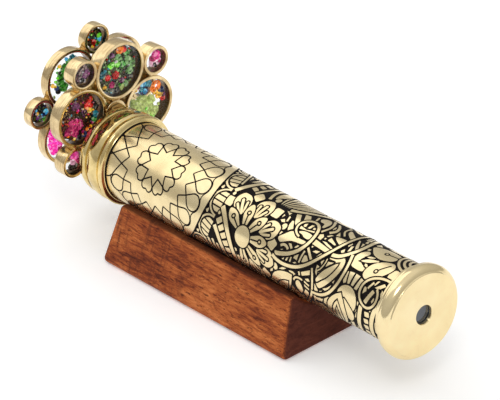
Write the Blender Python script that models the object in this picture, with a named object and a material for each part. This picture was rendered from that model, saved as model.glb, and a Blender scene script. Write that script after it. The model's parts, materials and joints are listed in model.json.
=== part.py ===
"""Brass kaleidoscope with two gem wheels, lying in the groove of a wooden stand.

Frame: metres, origin at the centre of the stand's underside, +X along the tube
towards the eyepiece, +Z up. The wheels turn on a spindle parallel to the tube.
"""

import math

import bmesh
import bpy
from mathutils import Vector

MM = 0.001
GAP = 0.3 * MM                       # clearance between pieces that touch

# Tube
TUBE_R = 16.0 * MM
TUBE_BORE_R = 14.8 * MM
TUBE_X = (-68.2 * MM, 102.8 * MM)
AXIS_Z = 33.25 * MM                  # height of the tube's axis above the table

# Stand
STAND_LENGTH = 107.0 * MM
STAND_WIDTH = 51.5 * MM
STAND_TOP_WIDTH = 32.2 * MM
STAND_HEIGHT = 23.75 * MM
STAND_END_LEAN = 3.5 * MM            # how far each end leans in at the top
STAND_ROUNDING = 1.3 * MM

# Optics
MIRROR_WIDTH = 21.8 * MM
MIRROR_THICKNESS = 2.0 * MM
MIRROR_APOTHEM = 6.5 * MM            # tube axis to each mirror's reflecting face
MIRROR_X = (-67.9 * MM, 102.5 * MM)
PACKING_X = (-66.0 * MM, 101.0 * MM)
EYE_HOLE_R = 3.9 * MM
EYE_LENS_X = (103.1 * MM, 105.1 * MM)
OBJECTIVE_GLASS_X = (-70.0 * MM, -68.5 * MM)
APERTURE_R = 9.5 * MM                # opening in the collar's end plate

# Spindle of the two wheels
SPINDLE_OFFSET = 14.8 * MM           # from the tube's axis
SPINDLE_LEAN = math.radians(16.7)    # from straight up, towards +Y
SPINDLE_R = 1.5 * MM
SPINDLE_X = (-96.2 * MM, -70.3 * MM)
BORE_R = SPINDLE_R + GAP
NUT_FLATS = 6.4 * MM
LOCKNUT_X = (-73.6 * MM, -72.2 * MM)

# Gem wheels
LARGE_R = 12.1 * MM
SMALL_R = 6.2 * MM
LARGE_WALL = 1.4 * MM
SMALL_WALL = 1.3 * MM
HUB_R = 5.0 * MM
SOLDER_GAP = 0.12 * MM               # between rings, bridged by solder
SOLDER_SIZE = (1.4 * MM, 4.4 * MM)   # across and along the joint
SOLDER_SHORT = 0.6 * MM              # solder stops this far below each face
GLASS_RECESS = 0.35 * MM
LARGE_CENTRE = (2 * LARGE_R + SOLDER_GAP) / math.sqrt(2)
SMALL_CENTRE = LARGE_CENTRE / math.sqrt(2) + math.sqrt(
    (LARGE_R + SMALL_R + SOLDER_GAP) ** 2 - LARGE_CENTRE ** 2 / 2)
# name: (x of the face towards the eyepiece, depth, turn in degrees, glass thickness)
WHEELS = {
    "front": (-73.9 * MM, 5.6 * MM, 12.7, 1.0 * MM),
    "back": (-87.5 * MM, 4.3 * MM, 54.0, 0.8 * MM),
}

MATERIALS = {
    # name: (colour, roughness, metallic)
    "etched_brass": ((0.72, 0.56, 0.30), 0.32, 1.0),
    "polished_brass": ((0.86, 0.68, 0.36), 0.18, 1.0),
    "satin_brass": ((0.80, 0.66, 0.42), 0.35, 1.0),
    "clear_glass": ((0.90, 0.95, 0.95), 0.03, 0.0),
    "mirror_glass": ((0.88, 0.90, 0.92), 0.04, 1.0),
    "grey_foam": ((0.20, 0.20, 0.21), 0.95, 0.0),
    "rosewood": ((0.36, 0.12, 0.05), 0.45, 0.0),
    "red_gem": ((0.55, 0.02, 0.03), 0.08, 0.0),
    "green_gem": ((0.05, 0.35, 0.08), 0.08, 0.0),
    "blue_gem": ((0.03, 0.12, 0.40), 0.08, 0.0),
    "magenta_gem": ((0.60, 0.03, 0.25), 0.08, 0.0),
}
CELL_GEMS = {
    "front": ("red_gem", "green_gem", "blue_gem", "magenta_gem"),
    "back": ("green_gem", "blue_gem", "red_gem", "magenta_gem"),
}


def clear_scene():
    for item in list(bpy.data.objects):
        bpy.data.objects.remove(item, do_unlink=True)


def make_materials():
    made = {}
    for name, (colour, roughness, metallic) in MATERIALS.items():
        material = bpy.data.materials.new(name)
        material.use_nodes = True
        shader = material.node_tree.nodes["Principled BSDF"]
        shader.inputs["Base Color"].default_value = (*colour, 1.0)
        shader.inputs["Roughness"].default_value = roughness
        shader.inputs["Metallic"].default_value = metallic
        made[name] = material
    return made


def make_empty(name, location, turn=0.0):
    empty = bpy.data.objects.new(name, None)
    empty.location = location
    empty.rotation_euler = (turn, 0.0, 0.0)
    bpy.context.collection.objects.link(empty)
    return empty


def add_object(name, bm, material, parent=None, location=(0, 0, 0), turn=0.0):
    """Link the bmesh as an object; turn rotates it about its own X axis."""
    bmesh.ops.recalc_face_normals(bm, faces=bm.faces[:])
    mesh = bpy.data.meshes.new(name)
    bm.to_mesh(mesh)
    bm.free()
    mesh.materials.append(material)
    mesh.shade_smooth()
    mesh.set_sharp_from_angle(angle=math.radians(35))
    item = bpy.data.objects.new(name, mesh)
    item.parent = parent
    item.location = location
    item.rotation_euler = (turn, 0.0, 0.0)
    bpy.context.collection.objects.link(item)
    return item


def turned(outline, segments, ring=False):
    """Spin (x, radius) points about X; ring closes an outline that misses the axis."""
    bm = bmesh.new()
    verts = [bm.verts.new((x, 0.0, radius)) for x, radius in outline]
    pairs = list(zip(verts, verts[1:]))
    if ring:
        pairs.append((verts[-1], verts[0]))
    edges = [bm.edges.new(pair) for pair in pairs]
    bmesh.ops.spin(bm, geom=verts + edges, cent=(0, 0, 0), axis=(1, 0, 0),
                   angle=math.tau, steps=segments, use_merge=True)
    bmesh.ops.remove_doubles(bm, verts=bm.verts[:], dist=0.002 * MM)
    return bm


def pipe(x_range, inner, outer, segments):
    low, high = x_range
    return turned([(low, inner), (low, outer), (high, outer), (high, inner)], segments, True)


def disc(x_range, radius, segments):
    low, high = x_range
    return turned([(low, 0.0), (low, radius), (high, radius), (high, 0.0)], segments)


def block(size, centre=(0, 0, 0)):
    bm = bmesh.new()
    bmesh.ops.create_cube(bm, size=1.0)
    bmesh.ops.scale(bm, vec=size, verts=bm.verts[:])
    bmesh.ops.translate(bm, vec=centre, verts=bm.verts[:])
    return bm


def hide_as_guide(item):
    item.hide_render = True
    item.display_type = "WIRE"
    return item


def add_boolean(item, other, operation):
    modifier = item.modifiers.new(operation.lower(), "BOOLEAN")
    modifier.operation = operation
    modifier.solver = "EXACT"
    if isinstance(other, bpy.types.Collection):
        modifier.operand_type = "COLLECTION"
        modifier.collection = other
    else:
        modifier.object = other


def arc(centre, radius, start, end, count):
    """Points of a circular arc in the (x, radius) plane, angles in degrees from +X."""
    points = []
    for i in range(count):
        angle = math.radians(start + (end - start) * i / (count - 1))
        points.append((centre[0] + radius * math.cos(angle), centre[1] + radius * math.sin(angle)))
    return points


def make_stand(materials):
    """Block with sloping sides and ends, and a groove that fits the tube."""
    bm = block((STAND_LENGTH, STAND_WIDTH, STAND_HEIGHT), (0, 0, STAND_HEIGHT / 2))
    for vert in bm.verts:
        if vert.co.z > STAND_HEIGHT / 2:
            vert.co.x = math.copysign(STAND_LENGTH / 2 - STAND_END_LEAN, vert.co.x)
            vert.co.y = math.copysign(STAND_TOP_WIDTH / 2, vert.co.y)
    stand = add_object("stand", bm, materials["rosewood"])
    bevel = stand.modifiers.new("rounded_edges", "BEVEL")
    bevel.width = STAND_ROUNDING
    bevel.segments = 2
    reach = STAND_LENGTH
    groove = add_object("stand_groove_cutter", disc((-reach, reach), TUBE_R + GAP, 64),
                        materials["rosewood"], location=(0, 0, AXIS_Z))
    hide_as_guide(groove)
    add_boolean(stand, groove, "DIFFERENCE")


def make_tube(materials, scope):
    add_object("tube", pipe(TUBE_X, TUBE_BORE_R, TUBE_R, 64), materials["etched_brass"], scope)


def make_eyepiece(materials, scope):
    """Cap that slides over the tube's end: a cove flares to a rounded rim and a flat face."""
    face_x = 106.9 * MM
    inner_x = 105.4 * MM
    sleeve_x = 98.4 * MM
    outline = [(sleeve_x, TUBE_R + GAP), (sleeve_x, 16.9 * MM)]
    outline += arc((sleeve_x + 0.2 * MM, 20.0 * MM), 3.0 * MM, -90, -20, 6)
    outline += arc((103.0 * MM, 17.9 * MM), 1.3 * MM, 110, 60, 4)
    outline += arc((105.3 * MM, 16.9 * MM), 1.6 * MM, 55, 0, 4)
    outline += [(face_x, 4.3 * MM), (face_x - 0.4 * MM, EYE_HOLE_R), (inner_x, EYE_HOLE_R)]
    outline += [(inner_x, TUBE_R + GAP)]
    add_object("eyepiece_cap", turned(outline, 44, True), materials["polished_brass"], scope)
    add_object("eye_lens", disc(EYE_LENS_X, TUBE_R, 40), materials["clear_glass"], scope)


def make_collar(materials, scope, spindle_at):
    """Turned collar: flange, groove, wide bead, groove and narrow bead, with an end plate."""
    plate = (-71.9 * MM, -70.3 * MM)
    lip_x = -57.5 * MM
    outline = [(plate[0], APERTURE_R), (plate[0], 17.2 * MM)]
    outline += [(-71.0 * MM, 17.7 * MM), (-69.4 * MM, 17.8 * MM), (-68.5 * MM, 17.6 * MM)]
    outline += [(-68.1 * MM, 17.1 * MM), (-67.7 * MM, 17.6 * MM)]
    outline += [(-66.2 * MM, 18.2 * MM), (-64.0 * MM, 18.45 * MM), (-61.8 * MM, 18.35 * MM)]
    outline += [(-60.9 * MM, 18.1 * MM), (-60.5 * MM, 17.6 * MM)]
    outline += arc((-59.1 * MM, 17.45 * MM), 1.15 * MM, 150, 15, 5)
    outline += [(lip_x, 16.9 * MM), (lip_x, TUBE_R + GAP), (plate[1], TUBE_R + GAP)]
    outline += [(plate[1], APERTURE_R)]
    collar = add_object("objective_collar", turned(outline, 44, True),
                        materials["polished_brass"], scope)
    y, z = spindle_at
    drill = add_object("spindle_hole_cutter", disc((-75 * MM, -69 * MM), BORE_R, 20),
                       materials["polished_brass"], scope, (0, y, z))
    hide_as_guide(drill)
    add_boolean(collar, drill, "DIFFERENCE")
    add_object("objective_glass", disc(OBJECTIVE_GLASS_X, TUBE_R, 40),
               materials["clear_glass"], scope)


def packing_strip():
    """Segment of the tube's bore behind one mirror, from its flat back to the tube wall."""
    chord = MIRROR_APOTHEM + MIRROR_THICKNESS + GAP
    radius = TUBE_BORE_R - GAP
    half = math.acos(chord / radius)
    steps = 10
    bm = bmesh.new()
    low, high = PACKING_X
    rim = []
    for i in range(steps + 1):
        angle = -half + 2 * half * i / steps
        rim.append(bm.verts.new((low, radius * math.sin(angle), radius * math.cos(angle))))
    face = bm.faces.new(rim)
    extruded = bmesh.ops.extrude_face_region(bm, geom=[face])
    moved = [item for item in extruded["geom"] if isinstance(item, bmesh.types.BMVert)]
    bmesh.ops.translate(bm, vec=(high - low, 0, 0), verts=moved)
    return bm


def make_mirrors(materials, scope):
    """Three mirror strips in a triangle, each backed by a packing strip."""
    low, high = MIRROR_X
    centre = ((low + high) / 2, 0, MIRROR_APOTHEM + MIRROR_THICKNESS / 2)
    for i in range(3):
        turn = math.tau * i / 3
        strip = block((high - low, MIRROR_WIDTH, MIRROR_THICKNESS), centre)
        add_object(f"mirror_{i + 1}", strip, materials["mirror_glass"], scope, turn=turn)
        add_object(f"mirror_packing_{i + 1}", packing_strip(), materials["grey_foam"],
                   scope, turn=turn)


def hex_ring(x_range, flats, bore):
    """Pipe whose outside is moved out onto a hexagon."""
    bm = pipe(x_range, bore, flats / 2, 24)
    for vert in bm.verts:
        if math.hypot(vert.co.y, vert.co.z) > (bore + flats / 2) / 2:
            angle = math.atan2(vert.co.y, vert.co.z)
            from_flat = (angle + math.pi / 6) % (math.pi / 3) - math.pi / 6
            vert.co.y /= math.cos(from_flat)
            vert.co.z /= math.cos(from_flat)
    return bm


def make_spindle(materials, axle):
    """Spindle, locknut at the collar, spacer between the hubs, washer and domed end nut."""
    add_object("wheel_spindle", disc(SPINDLE_X, SPINDLE_R, 20), materials["satin_brass"], axle)
    add_object("spindle_locknut", hex_ring(LOCKNUT_X, NUT_FLATS, BORE_R),
               materials["satin_brass"], axle)
    front_x, front_depth = WHEELS["front"][:2]
    back_x, back_depth = WHEELS["back"][:2]
    spacer = (back_x + GAP, front_x - front_depth - GAP)
    add_object("wheel_spacer", pipe(spacer, BORE_R, 3.0 * MM, 24),
               materials["satin_brass"], axle)
    washer_x = back_x - back_depth - GAP
    add_object("end_washer", pipe((washer_x - 0.6 * MM, washer_x), BORE_R, 3.6 * MM, 24),
               materials["satin_brass"], axle)
    nut_x = washer_x - 0.6 * MM - GAP
    bore_x = SPINDLE_X[0] - GAP
    outline = [(nut_x, BORE_R), (nut_x, 3.3 * MM), (nut_x - 2.2 * MM, 3.3 * MM)]
    outline += arc((nut_x - 2.8 * MM, 0.0), 2.6 * MM, 90, 180, 6)
    outline += [(bore_x, 0.0), (bore_x, BORE_R), (nut_x, BORE_R)]
    add_object("end_nut", turned(outline, 24), materials["satin_brass"], axle)


def ring_places():
    """(kind, number, angle, distance from hub, outer radius, wall) of a wheel's eight rings."""
    places = []
    for i in range(4):
        angle = math.tau * i / 4
        half_way = angle + math.tau / 8
        places.append(("cell", i + 1, angle, LARGE_CENTRE, LARGE_R, LARGE_WALL))
        places.append(("small_cell", i + 1, half_way, SMALL_CENTRE, SMALL_R, SMALL_WALL))
    return places


def polar(x, distance, angle):
    """Point at this distance from the wheel's axis; the angle is from +Z towards +Y."""
    return Vector((x, distance * math.sin(angle), distance * math.cos(angle)))


def solder_joints(x_middle):
    """(place, direction) of each contact between neighbouring rings or the hub."""
    large = [polar(x_middle, LARGE_CENTRE, math.tau * i / 4) for i in range(4)]
    small = [polar(x_middle, SMALL_CENTRE, math.tau * (i + 0.5) / 4) for i in range(4)]
    pairs = []
    hub = Vector((x_middle, 0, 0))
    for i in range(4):
        after = large[(i + 1) % 4]
        pairs.append((hub, HUB_R, large[i]))
        pairs.append((large[i], LARGE_R, after))
        pairs.append((large[i], LARGE_R, small[i]))
        pairs.append((after, LARGE_R, small[i]))
    joints = []
    for start, radius, end in pairs:
        direction = (end - start).normalized()
        joints.append((start + direction * (radius + SOLDER_GAP / 2), direction))
    return joints


def make_frame(name, materials, pivot, face_x, depth):
    """Hub, four large and four small rings cut from tube, soldered into one frame."""
    x_range = (face_x - depth, face_x)
    frame = add_object(f"{name}_wheel_frame", pipe(x_range, BORE_R, HUB_R, 32),
                       materials["satin_brass"], pivot)
    parts = bpy.data.collections.new(f"{name}_frame_parts")
    bpy.context.scene.collection.children.link(parts)
    pieces = []
    for kind, number, angle, distance, radius, wall in ring_places():
        segments = 40 if kind == "cell" else 28
        pieces.append(add_object(f"{name}_{kind}_{number}_ring",
                                 pipe(x_range, radius - wall, radius, segments),
                                 materials["satin_brass"], pivot, polar(0, distance, angle)))
    size = (depth - 2 * SOLDER_SHORT, SOLDER_SIZE[1], SOLDER_SIZE[0])
    for number, (place, direction) in enumerate(solder_joints(face_x - depth / 2)):
        turn = -math.atan2(direction.y, direction.z)
        pieces.append(add_object(f"{name}_solder_{number}", block(size),
                                 materials["satin_brass"], pivot, place, turn))
    for piece in pieces:
        hide_as_guide(piece)
        bpy.context.collection.objects.unlink(piece)
        parts.objects.link(piece)
    add_boolean(frame, parts, "UNION")


def cut_gem(radius, thickness, sides):
    """Flat faceted stone with a table on both faces."""
    half = thickness / 2
    return turned([(-half, 0.0), (-half, 0.55 * radius), (-0.1 * half, radius),
                   (half, 0.5 * radius), (half, 0.0)], sides)


def make_cells(name, materials, pivot, face_x, depth, glass, turn):
    """Front and rear glass in every ring, and one cut gem low down in each large cell."""
    for kind, number, angle, distance, radius, wall in ring_places():
        centre = polar(0, distance, angle)
        fit = radius - wall - GAP
        segments = 32 if kind == "cell" else 20
        front = (face_x - GLASS_RECESS - glass, face_x - GLASS_RECESS)
        rear = (face_x - depth + GLASS_RECESS, face_x - depth + GLASS_RECESS + glass)
        for side, x_range in (("front", front), ("rear", rear)):
            add_object(f"{name}_{kind}_{number}_{side}_glass", disc(x_range, fit, segments),
                       materials["clear_glass"], pivot, centre)
        if kind == "cell":
            chamber = depth - 2 * (GLASS_RECESS + glass)
            size = 3.6 * MM
            down = polar(0, fit - size - GAP, math.pi - turn)
            middle = Vector((face_x - depth / 2, 0, 0))
            colour = CELL_GEMS[name][number - 1]
            add_object(f"{name}_cell_{number}_gem", cut_gem(size, chamber - 2 * GAP, 6 + number),
                       materials[colour], pivot, centre + down + middle)


def build():
    clear_scene()
    materials = make_materials()
    make_stand(materials)
    scope = make_empty("scope_axis", (0, 0, AXIS_Z))
    make_tube(materials, scope)
    make_eyepiece(materials, scope)
    place = polar(0, SPINDLE_OFFSET, SPINDLE_LEAN)
    make_collar(materials, scope, (place.y, place.z))
    make_mirrors(materials, scope)
    axle_at = (0, place.y, AXIS_Z + place.z)
    make_spindle(materials, make_empty("spindle_axis", axle_at))
    for name, (face_x, depth, degrees, glass) in WHEELS.items():
        turn = math.radians(degrees)
        pivot = make_empty(f"{name}_wheel_axis", axle_at, -turn)
        make_frame(name, materials, pivot, face_x, depth)
        make_cells(name, materials, pivot, face_x, depth, glass, turn)


build()
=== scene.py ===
"""Looks of the kaleidoscope: etched brass tube, gem wheels, turned fittings and wooden stand.

Everything is placed from the frame's own boxes and joints. Lengths are metres, except in the
etching and in the tables of gems, which are in millimetres.
"""

import json
import math
import random

import bmesh
import bpy
from mathutils import Matrix, Vector
from mathutils.geometry import tessellate_polygon


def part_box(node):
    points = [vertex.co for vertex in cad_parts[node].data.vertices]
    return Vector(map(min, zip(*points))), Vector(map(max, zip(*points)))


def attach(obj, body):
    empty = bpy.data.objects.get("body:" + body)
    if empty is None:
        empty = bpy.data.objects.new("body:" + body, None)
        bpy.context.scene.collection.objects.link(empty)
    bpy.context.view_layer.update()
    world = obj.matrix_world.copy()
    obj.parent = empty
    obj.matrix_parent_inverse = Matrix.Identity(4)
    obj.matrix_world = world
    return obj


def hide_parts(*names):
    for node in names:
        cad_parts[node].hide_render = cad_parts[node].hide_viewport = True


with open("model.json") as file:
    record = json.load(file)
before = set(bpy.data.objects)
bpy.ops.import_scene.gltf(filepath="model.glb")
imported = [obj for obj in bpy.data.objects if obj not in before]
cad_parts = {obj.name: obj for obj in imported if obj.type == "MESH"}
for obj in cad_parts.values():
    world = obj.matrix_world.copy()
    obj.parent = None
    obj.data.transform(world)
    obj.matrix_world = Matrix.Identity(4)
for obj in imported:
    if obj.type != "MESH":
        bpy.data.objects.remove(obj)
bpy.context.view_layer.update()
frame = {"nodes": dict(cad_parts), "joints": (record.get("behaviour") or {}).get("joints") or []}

MM = 0.001
JOINTS = {joint["name"]: joint for joint in frame["joints"]}


def node_span(node, axis):
    """Lowest and highest coordinate of a CAD node along one axis."""
    low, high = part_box(node)
    return low[axis], high[axis]


TUBE_LOW, TUBE_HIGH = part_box("tube")
TUBE_R = (TUBE_HIGH.y - TUBE_LOW.y) / 2
TUBE_WALL = 1.2 * MM
FIT = 0.3 * MM                       # clearance between pieces that touch
AXIS_Z = (TUBE_LOW.z + TUBE_HIGH.z) / 2
COLLAR_X = node_span("objective_collar", 0)
CAP_X = node_span("eyepiece_cap", 0)


# ---------------------------------------------------------------- shader nodes


def connect(tree, socket, value):
    """Links a socket to another one, or sets it to a plain value."""
    if isinstance(value, bpy.types.NodeSocket):
        tree.links.new(value, socket)
    else:
        socket.default_value = value


def wire(tree, node, **values):
    """Links or sets a node's inputs; an underscore in a name stands for a space."""
    for key, value in values.items():
        connect(tree, node.inputs[key.replace("_", " ")], value)


def add_node(tree, kind, inputs=None, **settings):
    node = tree.nodes.new(kind)
    for key, value in settings.items():
        setattr(node, key, value)
    for key, value in (inputs or {}).items():
        connect(tree, node.inputs[key], value)
    return node


def new_material(name, **values):
    """A material, its node tree and its shader, with some of the shader's inputs set."""
    material = bpy.data.materials.new(name)
    material.use_nodes = True
    tree = material.node_tree
    shader = tree.nodes["Principled BSDF"]
    wire(tree, shader, **values)
    return material, tree, shader


def object_place(tree):
    return add_node(tree, "ShaderNodeTexCoord").outputs["Object"]


def stretched(tree, scale=(1.0, 1.0, 1.0)):
    """Object coordinates scaled unevenly, for grain and brush marks."""
    inputs = {"Vector": object_place(tree), "Scale": scale}
    return add_node(tree, "ShaderNodeMapping", inputs).outputs["Vector"]


def noise(tree, vector, scale, detail=4.0, roughness=0.55, distortion=0.0):
    return add_node(tree, "ShaderNodeTexNoise", {
        "Vector": vector, "Scale": scale, "Detail": detail,
        "Roughness": roughness, "Distortion": distortion}).outputs["Fac"]


def remap(tree, value, low, high, to_low, to_high):
    return add_node(tree, "ShaderNodeMapRange", {
        "Value": value, "From Min": low, "From Max": high,
        "To Min": to_low, "To Max": to_high}).outputs["Result"]


def maths(tree, operation, *values, kind="ShaderNodeMath"):
    return add_node(tree, kind, dict(enumerate(values)), operation=operation).outputs[0]


def vector_maths(tree, operation, *values):
    return maths(tree, operation, *values, kind="ShaderNodeVectorMath")


def axes(tree, vector):
    return add_node(tree, "ShaderNodeSeparateXYZ", {"Vector": vector}).outputs


def blend(tree, share, *colours):
    """Turns the first colour into the second one by a share; each is a socket or plain."""
    first, second = ((*c, 1.0) if isinstance(c, tuple) else c for c in colours)
    return add_node(tree, "ShaderNodeMix", {0: share, 6: first, 7: second},
                    data_type="RGBA").outputs[2]


def ramp(tree, value, stops, steps=False):
    """Colour ramp with (position, colour) stops, smooth or in plain steps."""
    node = add_node(tree, "ShaderNodeValToRGB", {"Fac": value})
    if steps:
        node.color_ramp.interpolation = "CONSTANT"
    elements = node.color_ramp.elements
    while len(elements) < len(stops):
        elements.new(0.5)
    for element, (position, colour) in zip(elements, stops):
        element.position = position
        element.color = (*colour, 1.0)
    return node.outputs["Color"]


def bump(tree, height, strength, distance, **normal):
    return add_node(tree, "ShaderNodeBump", {
        "Height": height, "Strength": strength, "Distance": distance, **normal}).outputs["Normal"]


def shards(tree, where, size):
    """Random cells about size mm across: the texture's outputs, and random numbers for each."""
    cells = add_node(tree, "ShaderNodeTexVoronoi", {"Vector": where, "Scale": 1000.0 / size})
    pick = add_node(tree, "ShaderNodeSeparateColor", {"Color": cells.outputs["Color"]})
    return cells.outputs, pick.outputs


# ---------------------------------------------------------------- materials


def brass(name, light, dark, gloss, tarnish_and_painted_reflection, brushed=(1.0, 1.0, 1.0), grain=0.0):
    """Brass with cloudy tarnishing, uneven polish and fine marks stretched by brushed; the clouds
    can also stand in for dark reflections (painted reflection).
    """
    material, tree, shader = new_material(name, Metallic=1.0)
    clouds = noise(tree, stretched(tree), 95.0, 5.0, 0.62, 0.4)
    specks = noise(tree, stretched(tree), 900.0, 3.0, 0.6)
    marks = noise(tree, stretched(tree, brushed), 420.0, 3.0, 0.65)
    drift = noise(tree, stretched(tree), 30.0, 2.0)
    warm = tuple(c * f for c, f in zip(light, (1.0, 0.97, 0.90)))
    colour = ramp(tree, drift, [(0.3, light), (0.7, warm)])
    colour = blend(tree, remap(tree, clouds, 0.35, 0.75, 0.0, tarnish_and_painted_reflection), colour, dark)
    colour = blend(tree, remap(tree, marks, 0.48, 0.72, 0.0, grain), colour, dark)
    rough = maths(tree, "ADD", remap(tree, clouds, 0.3, 0.8, gloss, gloss + 0.16),
                  remap(tree, marks, 0.3, 0.7, -0.03, 0.05))
    pits = bump(tree, specks, 0.05, 0.00006)
    wire(tree, shader, Base_Color=colour, Roughness=rough,
         Normal=bump(tree, marks, 0.06, 0.00006, Normal=pits))
    return material


def ink_material():
    """Matt black filling of the etching, with a faint brown cast where it is rubbed."""
    material, tree, shader = new_material("etching_black", Specular_IOR_Level=0.10)
    rubbed = noise(tree, stretched(tree), 260.0, 4.0)
    colour = ramp(tree, rubbed, [(0.35, (0.003, 0.002, 0.002)), (0.8, (0.014, 0.009, 0.006))])
    wire(tree, shader, Base_Color=colour, Roughness=remap(tree, rubbed, 0.3, 0.8, 0.55, 0.8),
         Normal=bump(tree, rubbed, 0.2, 0.00005))
    return material


def wood_material():
    """Red-brown hardwood: streaks and flecks along X, end grain, and painted shade beside the
    groove.

    Saw chatter marks the half away from the eye.
    """
    material, tree, shader = new_material("rosewood_oiled", Specular_IOR_Level=0.07)
    bands = noise(tree, stretched(tree, (1.0, 7.0, 7.0)), 22.0, 5.0, 0.6, 0.35)
    streaks = noise(tree, stretched(tree, (1.0, 7.0, 7.0)), 120.0, 6.0, 0.78, 0.5)
    flecks = noise(tree, stretched(tree, (1.0, 4.0, 4.0)), 420.0, 3.0, 0.6, 0.5)
    patches = noise(tree, stretched(tree, (1.0, 2.2, 2.2)), 34.0, 4.0, 0.6, 0.6)
    rings = noise(tree, stretched(tree, (0.2, 3.0, 9.0)), 40.0, 5.0, 0.65, 1.2)
    chatter = noise(tree, stretched(tree, (13.0, 1.0, 1.4)), 42.0, 3.0, 0.6)
    spread = maths(tree, "ADD", remap(tree, bands, 0.3, 0.7, -0.32, 0.28),
                   remap(tree, streaks, 0.34, 0.66, 0.10, 0.88))
    spread = maths(tree, "ADD", spread, remap(tree, patches, 0.3, 0.7, -0.24, 0.20))
    colour = ramp(tree, spread, [(0.0, (0.085, 0.018, 0.009)), (0.26, (0.240, 0.052, 0.018)),
                                 (0.55, (0.420, 0.108, 0.030)), (1.0, (0.660, 0.215, 0.065))])
    end = ramp(tree, rings, [(0.25, (0.050, 0.013, 0.009)), (0.55, (0.110, 0.030, 0.019)),
                             (0.85, (0.190, 0.058, 0.034))])
    facing = axes(tree, add_node(tree, "ShaderNodeNewGeometry").outputs["True Normal"])
    place = axes(tree, object_place(tree))
    is_end = remap(tree, maths(tree, "ABSOLUTE", facing["X"]), 0.45, 0.8, 0.0, 1.0)
    sawn = maths(tree, "MULTIPLY", remap(tree, chatter, 0.52, 0.64, 0.0, 0.75),
                 remap(tree, place["X"], -45 * MM, 12 * MM, 1.0, 0.0))
    dots = remap(tree, flecks, 0.57, 0.66, 0.0, 0.8)
    # Painted shade: darker just under the groove's edge, where the tube shades the top of the
    # block.
    painted_groove_shade = remap(tree, place["Z"], 22.9 * MM, 23.5 * MM, 0.0, 0.8)
    for share, tone in ((is_end, end), (dots, (0.060, 0.014, 0.008)),
                        (sawn, (0.110, 0.028, 0.014)), (painted_groove_shade, (0.040, 0.012, 0.007))):
        colour = blend(tree, share, colour, tone)
    normal = bump(tree, chatter, 0.22, 0.0003)
    wire(tree, shader, Base_Color=colour, Roughness=remap(tree, streaks, 0.3, 0.7, 0.50, 0.72),
         Normal=bump(tree, streaks, 0.35, 0.00022, Normal=normal))
    return material


def clear_glass_material():
    """Thin clear glass: what is behind shows through, and the front reflects."""
    material, tree, shader = new_material("clear_glass_thin")
    smears = noise(tree, stretched(tree), 160.0, 3.0)
    see = add_node(tree, "ShaderNodeBsdfTransparent", {"Color": (0.985, 0.99, 0.988, 1.0)})
    gloss = add_node(tree, "ShaderNodeBsdfGlossy", {
        "Color": (1.0, 1.0, 1.0, 1.0), "Roughness": remap(tree, smears, 0.3, 0.8, 0.02, 0.09)})
    slope = add_node(tree, "ShaderNodeLayerWeight", {"Blend": 0.5}).outputs["Facing"]
    share = remap(tree, maths(tree, "POWER", slope, 4.0), 0.0, 1.0, 0.006, 0.4)
    mix = add_node(tree, "ShaderNodeMixShader", {0: share, 1: see.outputs[0],
                                                 2: gloss.outputs[0]})
    wire(tree, tree.nodes["Material Output"], Surface=mix.outputs[0])
    tree.nodes.remove(shader)
    return material


FACET_MM = 0.85                      # width of a facet
FACET_TILT = 0.7                     # how far its normal leans, as a share of the normal


def gem_material(name, colour, see_through=0.3, shade=0.22, painted_glint_share=0.1, painted_glow=0.12):
    """Coloured glass: facets of three tones, painted glints on a few, light let through, and an
    emission that paints in light from behind.
    """
    material, tree, shader = new_material(
        name, IOR=1.45, Transmission_Weight=see_through, Coat_Weight=0.15, Coat_Roughness=0.02,
        Emission_Strength=painted_glow, Specular_IOR_Level=0.3, Specular_Tint=(1.0, 0.86, 0.6, 1.0))
    cells, pick = shards(tree, stretched(tree), FACET_MM)
    lean = vector_maths(tree, "MULTIPLY_ADD", cells["Color"], (FACET_TILT,) * 3,
                        (-0.5 * FACET_TILT,) * 3)
    outward = add_node(tree, "ShaderNodeNewGeometry").outputs["Normal"]
    tilted = vector_maths(tree, "NORMALIZE", vector_maths(tree, "ADD", outward, lean))
    swirl = noise(tree, stretched(tree), 420.0, 4.0, 0.6, 1.0)
    dark = tuple(shade * c for c in colour)
    light = tuple(min(1.0, 0.06 + 1.35 * c) for c in colour)
    # Painted glints: a whitish tone on a share of the facets.
    painted_glint = tuple(0.3 * g + 0.7 * c for g, c in zip((1.0, 0.95, 0.75), light))
    tone = ramp(tree, pick["Red"], [(0.0, dark), (0.26, colour), (0.62, light),
                                    (1.0 - painted_glint_share, painted_glint)], steps=True)
    tone = blend(tree, remap(tree, swirl, 0.32, 0.6, 0.35, 1.0), dark, tone)
    # The emission in the facets' own tone is painted light, standing in for light from behind the
    # cell.
    wire(tree, shader, Base_Color=tone, Emission_Color=tone, Normal=tilted,
         Roughness=remap(tree, pick["Green"], 0.0, 1.0, 0.02, 0.16))
    return material


def crumb_material(name, size, *tones):
    """Crushed glass: crumbs about size mm across, each of one of the tones, with painted shade
    between them.
    """
    material, tree, shader = new_material(
        name, IOR=1.5, Coat_Weight=0.1, Coat_Roughness=0.04, Specular_IOR_Level=0.25,
        Specular_Tint=(1.0, 0.84, 0.55, 1.0))
    warp = noise(tree, stretched(tree), 500.0, 3.0, 0.6)
    moved = vector_maths(tree, "MULTIPLY_ADD", warp, (1.2 * MM,) * 3, stretched(tree))
    crumbs, pick = shards(tree, moved, size)
    shade = ramp(tree, pick["Red"], [(i / len(tones), tone) for i, tone in enumerate(tones)],
                 steps=True)
    # Painted shade in the cracks between the crumbs.
    gap = remap(tree, crumbs["Distance"], 0.35, 0.70, 0.0, 0.85)
    wire(tree, shader, Base_Color=blend(tree, gap, shade, (0.010, 0.008, 0.008)),
         Roughness=remap(tree, pick["Green"], 0.0, 1.0, 0.05, 0.3),
         Normal=bump(tree, crumbs["Distance"], 0.9, 0.0005))
    return material


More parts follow.
